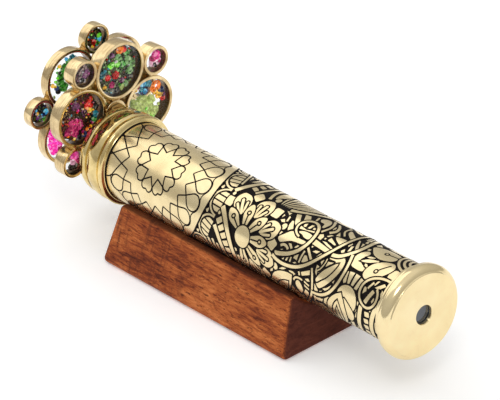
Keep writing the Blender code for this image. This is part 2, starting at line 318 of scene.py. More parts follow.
def dark_lens_material():
    material, tree, shader = new_material("eye_lens_glass", IOR=1.5, Coat_Weight=1.0,
                                          Coat_Roughness=0.02)
    depth = noise(tree, stretched(tree), 140.0, 2.0)
    tint = ramp(tree, depth, [(0.3, (0.006, 0.010, 0.018)), (0.75, (0.035, 0.050, 0.080))])
    wire(tree, shader, Base_Color=tint, Roughness=remap(tree, depth, 0.3, 0.8, 0.04, 0.16))
    return material


def mirror_material():
    material, tree, shader = new_material("front_silvered_mirror", Metallic=1.0)
    haze = noise(tree, stretched(tree), 60.0, 3.0)
    tint = ramp(tree, haze, [(0.3, (0.80, 0.82, 0.84)), (0.7, (0.90, 0.92, 0.93))])
    wire(tree, shader, Base_Color=tint, Roughness=remap(tree, haze, 0.3, 0.8, 0.02, 0.08))
    return material


def foam_material():
    material, tree, shader = new_material("packing_foam")
    cells = add_node(tree, "ShaderNodeTexVoronoi", {
        "Vector": stretched(tree), "Scale": 900.0}).outputs["Distance"]
    tint = ramp(tree, cells, [(0.1, (0.015, 0.015, 0.016)), (0.7, (0.060, 0.060, 0.062))])
    wire(tree, shader, Base_Color=tint, Roughness=remap(tree, cells, 0.0, 0.8, 0.85, 1.0),
         Normal=bump(tree, cells, 0.6, 0.0004))
    return material


def floor_material():
    """White paper lit from within a little, so that it stays white away from the shadow."""
    material, tree, shader = new_material("floor_white", Emission_Strength=0.24,
                                          Specular_IOR_Level=0.2)
    grain = noise(tree, stretched(tree), 60.0, 3.0)
    tint = ramp(tree, grain, [(0.3, (0.95, 0.953, 0.957)), (0.7, (0.965, 0.968, 0.972))])
    wire(tree, shader, Base_Color=tint, Emission_Color=tint,
         Roughness=remap(tree, grain, 0.3, 0.7, 0.55, 0.65))
    return material


ETCHED = brass("etched_brass_plate", (0.90, 0.76, 0.46), (0.50, 0.33, 0.13), 0.17, 0.35,
               (0.2, 2.0, 2.0))
POLISHED = brass("turned_brass", (0.91, 0.77, 0.47), (0.60, 0.41, 0.15), 0.075, 0.28,
                 (6.0, 0.6, 0.6))
# Collar: heavy cloudy darkening, partly tarnished metal and partly painted reflection of the dark
# parts nearby.
GOLDEN = brass("collar_brass", (0.90, 0.73, 0.37), (0.36, 0.25, 0.07), 0.06, 0.8,
               (6.0, 0.6, 0.6))
# Rings: heavy cloudy darkening, partly tarnished metal and partly painted reflection of the
# neighbouring rings and the collar.
SATIN = brass("ring_brass", (0.93, 0.755, 0.45), (0.34, 0.21, 0.08), 0.10, 0.9,
              (4.5, 0.35, 0.35), 0.6)
# Ring bores: dark brown brass, its darkness mostly painted shade inside the rings, over tarnished
# metal.
SHADED_BORE = brass("ring_bore_shaded_brass", (0.20, 0.12, 0.055), (0.06, 0.032, 0.016), 0.24, 0.9)
INK = ink_material()
WOOD = wood_material()
GLASS = clear_glass_material()
LENS = dark_lens_material()
MIRROR = mirror_material()
FOAM = foam_material()
GEMS = {}
# Clear glass, as gem_material takes it: (colour, see_through, shade, painted_glint_share,
# painted_glow)
for gem, *look in (
        ("red", (0.72, 0.006, 0.006), 0.2, 0.3, 0.1, 0.25),
        ("orange", (1.00, 0.20, 0.010), 0.1, 0.5, 0.1, 0.4),
        ("amber", (1.00, 0.50, 0.02), 0.2, 0.4, 0.15, 0.4),
        ("green", (0.06, 0.36, 0.04), 0.3, 0.25, 0.1, 0.25),
        ("lime", (0.22, 0.90, 0.04), 0.2, 0.4, 0.15, 0.4),
        ("leaf_green", (0.22, 0.46, 0.15), 0.3, 0.3, 0.12, 0.25),
        ("olive", (0.58, 0.70, 0.20), 0.2, 0.7, 0.08, 0.1),
        ("teal", (0.02, 0.28, 0.36), 0.3, 0.3, 0.1, 0.2),
        ("sky", (0.08, 0.52, 0.95), 0.2, 0.35, 0.12, 0.35),
        ("navy", (0.015, 0.05, 0.22)),
        ("violet", (0.22, 0.045, 0.17)),
        ("blush", (0.95, 0.50, 0.66), 0.2, 0.5, 0.3, 0.35),
        ("pink", (1.00, 0.05, 0.36), 0.1, 0.5, 0.15, 0.4),
        ("raspberry", (0.60, 0.015, 0.16), 0.1, 0.5, 0.06, 0.12),
        ("magenta", (1.00, 0.03, 0.44), 0.0, 0.6, 0.2, 0.75),
        ("smoke", (0.016, 0.013, 0.018), 0.1),
        ("clear", (0.90, 0.93, 0.93), 0.9),
        ("pearl", (0.80, 0.68, 0.72), 0.2)):
    GEMS[gem] = gem_material("gem_" + gem, *look)
# Crushed glass: (size of a crumb, tones)
for gem, *look in (
        # In crushed_green the whitish green tone (0.70, 0.76, 0.42) is partly light crumbs and
        # partly painted glints.
        ("crushed_green", 0.85,
         (0.020, 0.024, 0.008), (0.090, 0.170, 0.030), (0.040, 0.022, 0.010),
         (0.190, 0.340, 0.080), (0.045, 0.080, 0.020), (0.700, 0.760, 0.420),
         (0.170, 0.120, 0.060), (0.160, 0.040, 0.016), (0.030, 0.050, 0.014)),
        ("crushed_plum", 0.75,
         (0.070, 0.010, 0.012), (0.030, 0.008, 0.010), (0.220, 0.026, 0.040),
         (0.120, 0.024, 0.010), (0.034, 0.010, 0.014), (0.720, 0.300, 0.060),
         (0.130, 0.028, 0.036), (0.030, 0.055, 0.045), (0.065, 0.010, 0.012)),
        ("crushed_mauve", 1.2,
         (0.360, 0.230, 0.220), (0.150, 0.070, 0.075), (0.260, 0.120, 0.120),
         (0.080, 0.030, 0.034), (0.620, 0.440, 0.420)),
        ("crushed_dark", 0.9,
         (0.012, 0.012, 0.014), (0.060, 0.034, 0.012), (0.120, 0.180, 0.020),
         (0.020, 0.070, 0.080), (0.012, 0.012, 0.012), (0.260, 0.160, 0.030))):
    GEMS[gem] = crumb_material(gem, *look)


# ---------------------------------------------------------------- mesh helpers


def smooth(mesh, degrees):
    mesh.shade_smooth()
    mesh.set_sharp_from_angle(angle=math.radians(degrees))


def new_object(name, data):
    item = bpy.data.objects.new(name, data)
    bpy.context.scene.collection.objects.link(item)
    return item


def add_mesh(name, points, faces, materials, body, slots=None):
    """Object from lists of points and faces, riding on a CAD body."""
    mesh = bpy.data.meshes.new(name)
    mesh.from_pydata(points, [], faces)
    for material in materials:
        mesh.materials.append(material)
    if slots:
        mesh.polygons.foreach_set("material_index", slots)
    mesh.validate()
    item = new_object(name, mesh)
    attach(item, body)
    return item


def skin(count, rings, closed):
    """Faces over rings of count points each, numbered in order.

    The last ring joins the first when closed, and otherwise both have a flat face.
    """
    faces = []
    for r in range(rings if closed else rings - 1):
        here, there = r * count, (r + 1) % rings * count
        faces += [(here + i, here + (i + 1) % count, there + (i + 1) % count, there + i)
                  for i in range(count)]
    if not closed:
        faces += [tuple(range(count)), tuple(range((rings - 1) * count, rings * count))]
    return faces


class Solid:
    """Points and faces gathered from several turned or cut pieces."""

    def __init__(self):
        self.points, self.faces, self.slots = [], [], []

    def cover(self, rings, closed=False, painted_shade_edges=()):
        """Adds a skin over rings of points; the numbered edges sweep the second material."""
        start, count = len(self.points), len(rings[0])
        self.points += [tuple(point) for ring in rings for point in ring]
        faces = skin(count, len(rings), closed)
        self.faces += [tuple(start + i for i in face) for face in faces]
        self.slots += [int(i % count in painted_shade_edges) for i in range(len(faces))]

    def turn(self, outline, centre, segments, painted_shade_edges=()):
        """Spins a closed (x, radius) outline about a line along X through centre (y, z)."""
        angles = [math.tau * k / segments for k in range(segments)]
        self.cover([[(x, centre[0] + radius * math.sin(angle), centre[1] + radius * math.cos(angle))
                     for x, radius in outline] for angle in angles], True, painted_shade_edges)

    def build(self, name, materials, body, node, slot, sharp_angle):
        """Object that takes the place of a CAD node; the slot argument is not used."""
        item = add_mesh(name, self.points, self.faces, materials, body, self.slots)
        bm = bmesh.new()
        bm.from_mesh(item.data)
        bmesh.ops.remove_doubles(bm, verts=bm.verts[:], dist=0.002 * MM)
        bmesh.ops.recalc_face_normals(bm, faces=bm.faces[:])
        bm.to_mesh(item.data)
        bm.free()
        smooth(item.data, sharp_angle)
        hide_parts(node)


def polar(centre, distance, degrees):
    angle = math.radians(degrees)
    return (centre[0] + distance * math.cos(angle), centre[1] + distance * math.sin(angle))


def arc(centre, radius, start, end, steps):
    """Points of an arc, angles in degrees from the first axis towards the second."""
    return [polar(centre, radius, start + (end - start) * i / steps) for i in range(steps + 1)]


def placed(points, centre, degrees):
    """Flat points turned by degrees and moved to a centre."""
    turn = math.radians(degrees)
    return [(centre[0] + x * math.cos(turn) - y * math.sin(turn),
             centre[1] + x * math.sin(turn) + y * math.cos(turn)) for x, y in points]


def curve(points, closed=False, steps=5):
    """Smooth line through a few points (Catmull-Rom)."""
    count = len(points)
    result = []
    for i in range(count if closed else count - 1):
        if closed:
            a, b, c, d = (points[(i + k) % count] for k in (-1, 0, 1, 2))
        else:
            a, b = points[max(i - 1, 0)], points[i]
            c, d = points[i + 1], points[min(i + 2, count - 1)]
        for k in range(steps):
            t = k / steps
            result.append(tuple(
                0.5 * (2 * b[n] + (c[n] - a[n]) * t
                       + (2 * a[n] - 5 * b[n] + 4 * c[n] - d[n]) * t * t
                       + (3 * b[n] - a[n] - 3 * c[n] + d[n]) * t * t * t) for n in (0, 1)))
    if not closed:
        result.append(tuple(points[-1]))
    return result


def pairs(numbers):
    """Points (a, b), (c, d) and so on from plain numbers a, b, c, d."""
    return list(zip(numbers[::2], numbers[1::2]))


# ---------------------------------------------------------------- etching on the tube

TUBE_MM = TUBE_R / MM
HALF_TURN = math.pi * TUBE_MM        # the drawing fills half the tube and repeats behind
BAND = math.radians(4) * TUBE_MM     # width of one facet of the tube
LAYER = 0.012                        # height of one drawing layer over the one below
LINE = 0.62                          # width of a black outline
ETCH_X = (COLLAR_X[1] / MM - 0.4, CAP_X[0] / MM + 0.4)
MEDALLION = (-31.1, 9.9)             # centre, (x, arc length from the top towards -Y)
MEDALLION_R = 31.0
ETCH_START = MEDALLION[1] - HALF_TURN / 2
ETCH_S = (ETCH_START, ETCH_START + HALF_TURN)
UPPER, LOWER = -15.5, 35.5           # arc lengths just past the two seams


def clip(points, axis, limit, keep):
    """Part of a convex outline on the keep side (+1 or -1) of a straight line."""
    result = []
    for a, b in zip(points, points[1:] + points[:1]):
        inside = (a[axis] - limit) * keep
        after = (b[axis] - limit) * keep
        if inside >= 0:
            result.append(a)
        if inside * after < 0:
            t = inside / (inside - after)
            result.append((a[0] + (b[0] - a[0]) * t, a[1] + (b[1] - a[1]) * t))
    return result


def between(points, axis, low, high):
    return clip(clip(points, axis, low, 1), axis, high, -1)


def both_ends(width):
    """Width at the start and the end of a line, from one number or a pair."""
    return width if isinstance(width, tuple) else (width, width)


class Drawing:
    """Layers of flat (x, s) shapes in millimetres, wrapped round the tube.

    Each shape has its own level, and a higher level covers a lower one.
    """

    def __init__(self):
        self.points, self.normals, self.faces = ({"brass": [], "ink": []} for _ in range(3))

    def wrap(self, kind, outline, level, known):
        """Lays one convex outline on the tube, cut at every facet edge."""
        outline = between(between(outline, 0, *ETCH_X), 1, *ETCH_S)
        turning = sum(a[0] * b[1] - b[0] * a[1]
                      for a, b in zip(outline, outline[1:] + outline[:1]))
        if len(outline) < 3 or abs(turning) < 1e-5:
            return
        if turning > 0:
            outline = outline[::-1]
        lowest, highest = (math.floor(end(p[1] for p in outline) / BAND) for end in (min, max))
        for band in range(lowest, highest + 1):
            piece = between(outline, 1, band * BAND, (band + 1) * BAND)
            for copy in (0, 1) if len(piece) > 2 else ():
                face = [self.corner(kind, x, s, band, level, copy, known) for x, s in piece]
                face = list(dict.fromkeys(face))
                if len(face) > 2:
                    self.faces[kind].append(face)

    def corner(self, kind, x, s, band, level, copy, known):
        """Index of the point on the tube's facet; copy 1 is on the far side."""
        key = (round(x, 4), round(s, 4), band, copy)
        if key in known:
            return known[key]
        across = s / BAND - band
        radius = (TUBE_MM + level * LAYER) * MM
        flip = math.pi * copy
        y, z = 0.0, 0.0
        for edge, share in ((band, 1 - across), (band + 1, across)):
            angle = edge * BAND / TUBE_MM + flip
            y -= share * radius * math.sin(angle)
            z += share * radius * math.cos(angle)
        true = s / TUBE_MM + flip
        known[key] = len(self.points[kind])
        self.points[kind].append((x * MM, y, AXIS_Z + z))
        self.normals[kind].append((0.0, -math.sin(true), math.cos(true)))
        return known[key]

    def fill(self, kind, outline, level):
        known = {}
        corners = [Vector((x, s, 0.0)) for x, s in outline]
        for triangle in tessellate_polygon([corners]):
            self.wrap(kind, [tuple(outline[i]) for i in triangle], level, known)

    def ribbon(self, kind, line, width, level, closed=False):
        """Band along a line; width is a number or (start, end)."""
        start, end = both_ends(width)
        count = len(line)
        sides = []
        for i, here in enumerate(line):
            before = line[(i - 1) % count] if closed or i else here
            after = line[(i + 1) % count] if closed or i < count - 1 else here
            into = Vector(here) - Vector(before)
            out = Vector(after) - Vector(here)
            into = into.normalized() if into.length else out.normalized()
            out = out.normalized() if out.length else into
            across = Vector((-into.y - out.y, into.x + out.x))
            across = across.normalized() if across.length else Vector((-into.y, into.x))
            reach = max(0.45, across.dot(Vector((-into.y, into.x))))
            half = across * (0.5 * (start + (end - start) * i / max(count - 1, 1)) / reach)
            sides.append((tuple(Vector(here) + half), tuple(Vector(here) - half)))
        known = {}
        for i in range(count if closed else count - 1):
            a, b = sides[i]
            d, c = sides[(i + 1) % count]
            self.wrap(kind, [a, b, c], level, known)
            self.wrap(kind, [a, c, d], level, known)

    def line(self, points, level, closed=False, width=LINE):
        self.ribbon("ink", points, width, level, closed)

    def plate(self, outline, level):
        """Raised brass shape with a black outline under its edge."""
        self.ribbon("ink", outline, 2 * LINE, level, True)
        self.fill("brass", outline, level + 1)

    def stem(self, points, width, level):
        """Raised brass line with black borders."""
        self.ribbon("ink", points, tuple(w + 2 * LINE for w in both_ends(width)), level)
        self.ribbon("brass", points, width, level + 1)

    def bead(self, centre, radius, level):
        angles = [math.tau * k / 14 for k in range(14)]
        self.plate([(centre[0] + radius * math.cos(a), centre[1] + radius * 1.15 * math.sin(a))
                    for a in angles], level)

    def keyhole(self, slit, eye, pupil, level):
        """Black slit that ends in a black disc with a brass dot."""
        self.line(slit, level, width=0.65)
        self.fill("ink", arc(eye, 1.15, 0, 337.5, 15), level)
        self.fill("brass", arc(eye, pupil, 0, 315, 7), level + 1)

    def build(self, name, kind, material):
        item = add_mesh(name, self.points[kind], self.faces[kind], [material], "scope")
        item.data.shade_smooth()
        item.data.normals_split_custom_set_from_vertices(self.normals[kind])


def block(centre, along, across, degrees, rounding=0.3):
    """Rounded rectangle, along its own first axis, turned by degrees."""
    outline = []
    for sx, sy, start in ((1, 1, 0), (-1, 1, 90), (-1, -1, 180), (1, -1, 270)):
        corner = (sx * (along / 2 - rounding), sy * (across / 2 - rounding))
        outline += arc(corner, rounding, start, start + 90, 2)
    return placed(outline, centre, degrees)


def leaf(base, tip, width, base_share, fullest=0.5, steps=9):
    """Outline of a petal from base to a pointed tip; base_share is its width at the base."""
    axis = Vector(tip) - Vector(base)
    side = Vector((-axis.y, axis.x)).normalized() * width / 2
    power = math.log(0.5) / math.log(fullest)
    left, right = [], []
    for i in range(steps + 1):
        t = i / steps
        swell = math.sin(math.pi * t ** power) ** 0.8 if 0 < t < 1 else 0.0
        swell = max(swell, base_share * (1 - t)) if t < fullest else swell
        middle = Vector(base) + axis * t
        left.append(tuple(middle + side * swell))
        right.append(tuple(middle - side * swell))
    return left + right[-2::-1]


def petal(centre, angle, *stations):
    """Outline of a petal from distances and half widths, the last ones its tip."""
    left = curve(pairs(stations), steps=4)
    return placed(left + [(r, -w) for r, w in left[-2::-1]], centre, angle)


def capsule(start, end, width):
    """Straight bar with round ends."""
    lean = math.degrees(math.atan2(end[1] - start[1], end[0] - start[0]))
    return (arc(end, width / 2, lean - 90, lean + 90, 5)
            + arc(start, width / 2, lean + 90, lean + 270, 5))


def draw_medallion(drawing):
    """Plain brass field with a ten-heart rosette, ringed by twenty knotted drops."""
    cx, cs = MEDALLION
    field, level = 20, 23
    foot, cross, tip = 16.5, 19.8, 26.8      # distances from the centre along a drop
    drawing.plate(arc(MEDALLION, MEDALLION_R, 0, 360, 90)[:-1], field)
    drawing.fill("brass", pairs((cx, cs - 60, cx, cs + 60, cx - 60, cs + 60, cx - 60, cs - 60)),
                 field + 2)
    for k in range(10):
        angle = 36 * k - 4
        lobes = curve([polar(MEDALLION, r, angle + a) for r, a in (
            (9.2, -17.5), (10.7, -16), (11.8, -10.5), (11.9, -5.5), (11.35, 0),
            (11.9, 5.5), (11.8, 10.5), (10.7, 16), (9.2, 17.5))], steps=3)
        drawing.line([polar(MEDALLION, 5.9, angle)] + lobes, level, closed=True)
    for k in range(20):
        angle = 18 * k - 1.4
        by_collar = abs(angle - 180) < 30
        eye = polar(MEDALLION, 27.8 if by_collar else 24.6, angle)
        knot = [polar(MEDALLION, cross, angle)]
        loop = arc(eye, 4.9 if by_collar else 3.4, angle + 135, angle - 135, 16)
        before, after = ([polar(MEDALLION, foot, angle + a)] for a in (-9, 9))
        drawing.line(before + knot + loop + knot + after, level, width=0.58)
        if not by_collar:
            scallop = arc(eye, 3.75, angle - 50, angle + 50, 9)
            before, after = ([polar(MEDALLION, tip, angle + a)] for a in (-9, 9))
            drawing.line(before + scallop + after, level, width=0.5)


def draw_fans(drawing):
    """Striped half-round fans that stand round the medallion's rim."""
    for k in range(-3, 4):
        angle = 2.3 + 19.3 * k
        centre = polar(MEDALLION, 37.4, angle)
        drawing.stem(arc(centre, 5.9, angle + 96, angle + 264, 14), 0.75, 4)
        for low, high in ((-4.2, -2.6), (-1.95, -0.15), (0.45, 2.0), (2.65, 4.3)):
            strip = [(-math.sqrt(max(0.2, 4.75 ** 2 - w * w)), w)
                     for w in (low, (low + high) / 2, high)]
            drawing.fill("brass", placed(strip + [(0.1, high), (0.1, low)], centre, angle), 2)
        gap = polar(MEDALLION, 33.3, angle + 9.6)
        drawing.fill("brass", [polar(gap, 1.6, angle + a) for a in (100, 180, 260)], 2)
    for x, s, lean in ((0.9, 31.0, 18), (3.1, 30.2, 14), (5.4, 29.8, 9), (7.6, 31.0, 6),
                       (4.0, -10.4, 24), (6.0, -10.8, 20), (5.0, -14.0, 24), (1.8, -15.0, 30)):
        drawing.plate(block((x, s), 1.25, 5.6, -lean, 0.4), 2)


def draw_flower(drawing, centre, first, top):
    """Keyhole petals over broad ones, with square blocks between the broad tips.

    The inner petals on the left would lie behind a stem and are left out.
    """
    for x, s, along, across, lean in ((18.7, 2.5, 3.9, 3.9, 32), (31.4, 4.9, 4.0, 4.6, 0),
                                      (37.8, 16.5, 3.9, 4.0, 28), (8.8, 9.4, 3.6, 4.0, 0),
                                      (35.3, 30.0, 4.0, 4.0, 38), (25.2, 35.4, 4.0, 4.0, 10)):
        drawing.plate(block((x, s), along, across, lean, 0.7), top)
    for k in range(-1, 5):
        angle = first + 21.5 + 45 * k
        drawing.plate(petal(centre, angle, 8.6, 2.5, 12.0, 3.5, 15.0, 3.8, 17.2, 2.7, 18.5, 1.0,
                            18.9, 0.0), top + 2)
        drawing.fill("ink", petal(centre, angle, 7.5, 1.3, 11.0, 2.1, 13.2, 1.7, 14.3, 0.6,
                                  14.6, 0.0), top + 4)
        for foot, foot_side, reach, side, width in ((9.8, -1.1, 13.7, -2.2, 1.0),
                                                    (9.8, 1.1, 13.7, 2.2, 1.0),
                                                    (9.4, 0.0, 15.3, 0.0, 1.2)):
            start = polar(polar(centre, foot, angle), foot_side, angle + 90)
            end = polar(polar(centre, reach, angle), side, angle + 90)
            drawing.plate(capsule(start, end, width), top + 5)
    for k in (0, 1, 2, 3, 4, 7):
        angle = first + 45 * k
        drawing.plate(petal(centre, angle, 4.4, 1.1, 6.0, 1.55, 8.8, 2.2, 11.2, 1.75, 12.8, 0.8,
                            13.3, 0.0), top + 7)
        drawing.keyhole([polar(centre, 4.7, angle), polar(centre, 8.8, angle)],
                        polar(centre, 9.5, angle), 0.5, top + 9)
    drawing.plate([(x, centre[1] + (s - centre[1]) * 1.08)
                   for x, s in arc(centre, 3.95, 0, 350, 35)], top + 9)


# Curved stems: (level, width or (start, end), then points x, s, x, s, ...)
STEMS = [
    (4, 1.9, 7.0, 4.8, 8.8, 1.5, 10.4, -3.0, 10.3, -8.0, 8.5, -15.5),
    (4, 1.2, 15.3, 1.6, 16.8, -2.0, 17.4, -6.0, 17.0, -15.5),
    (4, 1.3, 22.6, 0.8, 20.8, -4.0, 19.3, -10.0, 18.0, -15.5),
    (6, 0.8, 6.5, 0.8, 5.0, -3.0, 2.0, -8.0, -2.0, -12.5),
    (18, 2.0, 7.3, 12.6, 10.5, 15.8, 13.5, 20.0, 15.8, 24.5, 17.3, 30.0, 17.6, 36.0),
    (6, 1.9, 6.2, 20.6, 8.5, 24.0, 10.3, 29.0, 11.0, 36.0),
    (6, 1.5, 34.6, 0.8, 38.0, -0.6, 42.5, -3.4, 46.5, -6.6, 50.0, -11.5),
    (4, 1.0, 52.0, -6.4, 54.6, -3.0, 55.4, 0.0, 54.3, 3.2),
    (4, (0.9, 1.5), 55.2, -5.6, 57.8, -3.0, 58.8, -0.4, 57.5, 1.8),
    (4, 0.7, 59.8, -8.0, 60.9, -3.2, 63.6, -0.3),
    (4, 0.75, 54.2, 13.0, 53.8, 15.5, 53.5, 18.0),
    (4, 1.0, 42.0, 15.4, 43.2, 14.6, 44.7, 14.6, 46.2, 15.4),
    (4, 0.5, 65.9, 11.6, 65.9, 13.6, 65.0, 16.0, 63.6, 17.4),
    (4, 0.8, 51.8, 25.8, 52.8, 24.4, 54.6, 23.8, 56.8, 23.9),
    (8, 0.95, 60.8, 17.4, 62.0, 20.5, 62.4, 24.0, 61.8, 27.4, 60.0, 30.6, 57.0, 34.5),
    (8, 1.5, 66.6, 9.5, 70.0, 8.6, 73.0, 6.0, 75.0, 2.4, 75.4, -1.5, 74.2, -6.0, 71.0, -13.0),
    (10, 1.15, 74.6, 5.6, 75.8, 8.6, 76.4, 12.0, 76.0, 16.0, 74.4, 19.8, 71.6, 23.2, 68.0, 25.6,
     64.8, 26.6, 62.0, 26.9),
    (6, 2.0, 98.6, 16.5, 96.6, 21.0, 95.2, 26.0, 94.2, 31.0, 93.4, 36.0),
    (6, 1.9, 89.3, 21.6, 88.6, 25.5, 87.3, 31.0, 86.4, 36.0),
    (18, (1.4, 1.0), 39.4, 20.0, 41.5, 20.9, 44.5, 21.4, 48.0, 21.2, 52.0, 20.3, 56.0, 18.4,
     59.5, 15.8, 63.0, 12.0, 66.0, 7.5, 67.8, 2.5, 68.5, -3.0, 68.0, -9.0, 66.0, -15.5),
    (16, (0.7, 1.6), 47.9, 9.2, 46.2, 8.6, 44.5, 7.2, 43.8, 4.9, 44.6, 2.6, 46.6, 1.0, 49.2, 0.6,
     51.8, 1.9, 53.6, 4.6, 54.1, 7.8, 53.4, 10.8, 51.2, 14.0, 47.6, 16.6, 44.0, 18.0, 40.4, 18.9),
    (16, 0.95, 99.0, 8.3, 95.6, 8.3, 92.4, 9.0, 89.2, 10.8, 87.3, 13.6, 87.1, 17.0, 88.7, 19.8,
     91.6, 21.2, 94.4, 20.3, 96.1, 17.8, 96.0, 15.0, 94.6, 13.0),
]

# Closed outlines drawn smooth through a few points: (level, then points)
LEAVES = [
    (2, 39.2, 13.0, 41.0, 11.0, 43.2, 8.7, 44.8, 8.6, 47.2, 9.8, 52.2, 9.8, 51.2, 11.3, 46.2, 11.9,
     43.0, 13.4, 40.9, 14.3),
    (2, 46.0, 7.6, 48.5, 6.3, 52.6, 6.4, 52.4, 8.5, 50.0, 8.6, 48.4, 7.9),
    (2, 47.9, -3.0, 49.2, -4.9, 51.4, -5.0, 53.3, -2.6, 53.4, 0.6, 52.4, 1.0, 51.4, -1.2,
     49.2, -1.4),
    (2, 61.6, 2.2, 63.4, 1.4, 67.1, 1.3, 66.6, 4.3, 64.3, 3.9),
    (2, 61.8, -5.8, 65.0, -4.0, 67.7, -2.2, 67.2, -0.4, 64.4, -1.8, 62.6, -3.4),
    (4, 64.2, 21.2, 66.0, 18.4, 68.6, 14.6, 70.4, 11.2, 67.0, 11.2, 67.2, 10.1, 70.4, 8.9,
     73.0, 8.5, 74.4, 10.6, 74.1, 14.4, 71.8, 18.4, 68.6, 21.8, 65.8, 23.5),
    (6, 64.0, 20.4, 66.2, 16.8, 69.0, 13.8, 71.8, 11.3, 71.2, 14.4, 69.0, 17.8, 66.4, 20.0,
     64.6, 21.4),
    (2, 52.8, 27.5, 53.4, 25.5, 54.8, 25.0, 56.2, 26.6, 56.4, 29.0, 54.6, 30.6),
    (6, 77.4, -2.8, 79.4, -5.0, 82.5, -6.4, 86.6, -6.6, 90.0, -5.4, 90.6, -2.0, 89.6, 0.2,
     85.8, 1.7, 81.8, 1.2, 79.0, -0.8),
    (6, 92.4, 0.6, 94.6, 2.6, 94.2, 5.4, 92.4, 8.0, 89.4, 9.6, 87.3, 11.7, 84.7, 10.7, 84.3, 8.0,
     85.6, 4.6, 88.6, 1.8),
    (4, 78.6, 0.8, 80.2, 1.7, 79.6, 3.8, 79.0, 6.0, 81.2, 7.2, 83.7, 8.2, 83.2, 9.7, 80.0, 9.9,
     77.0, 9.2, 76.0, 5.6, 76.8, 2.6),
    (4, 95.6, 2.8, 99.5, 3.0, 99.5, 7.0, 95.0, 7.0),
    (4, 79.4, 22.4, 82.0, 23.4, 84.6, 26.0, 85.0, 28.8, 82.6, 31.4, 80.6, 29.0),
    (4, 24.2, -0.8, 23.0, -3.5, 22.2, -7.5, 21.6, -12.0, 25.0, -13.0, 26.3, -8.5, 26.2, -4.2,
     25.2, -2.8),
    (2, 44.0, -9.5, 48.5, -11.5, 55.5, -10.5, 58.5, -8.8, 52.0, -7.6, 47.0, -8.0),
    (2, 79.5, -9.0, 85.0, -11.0, 91.0, -9.5, 84.0, -8.0),
]

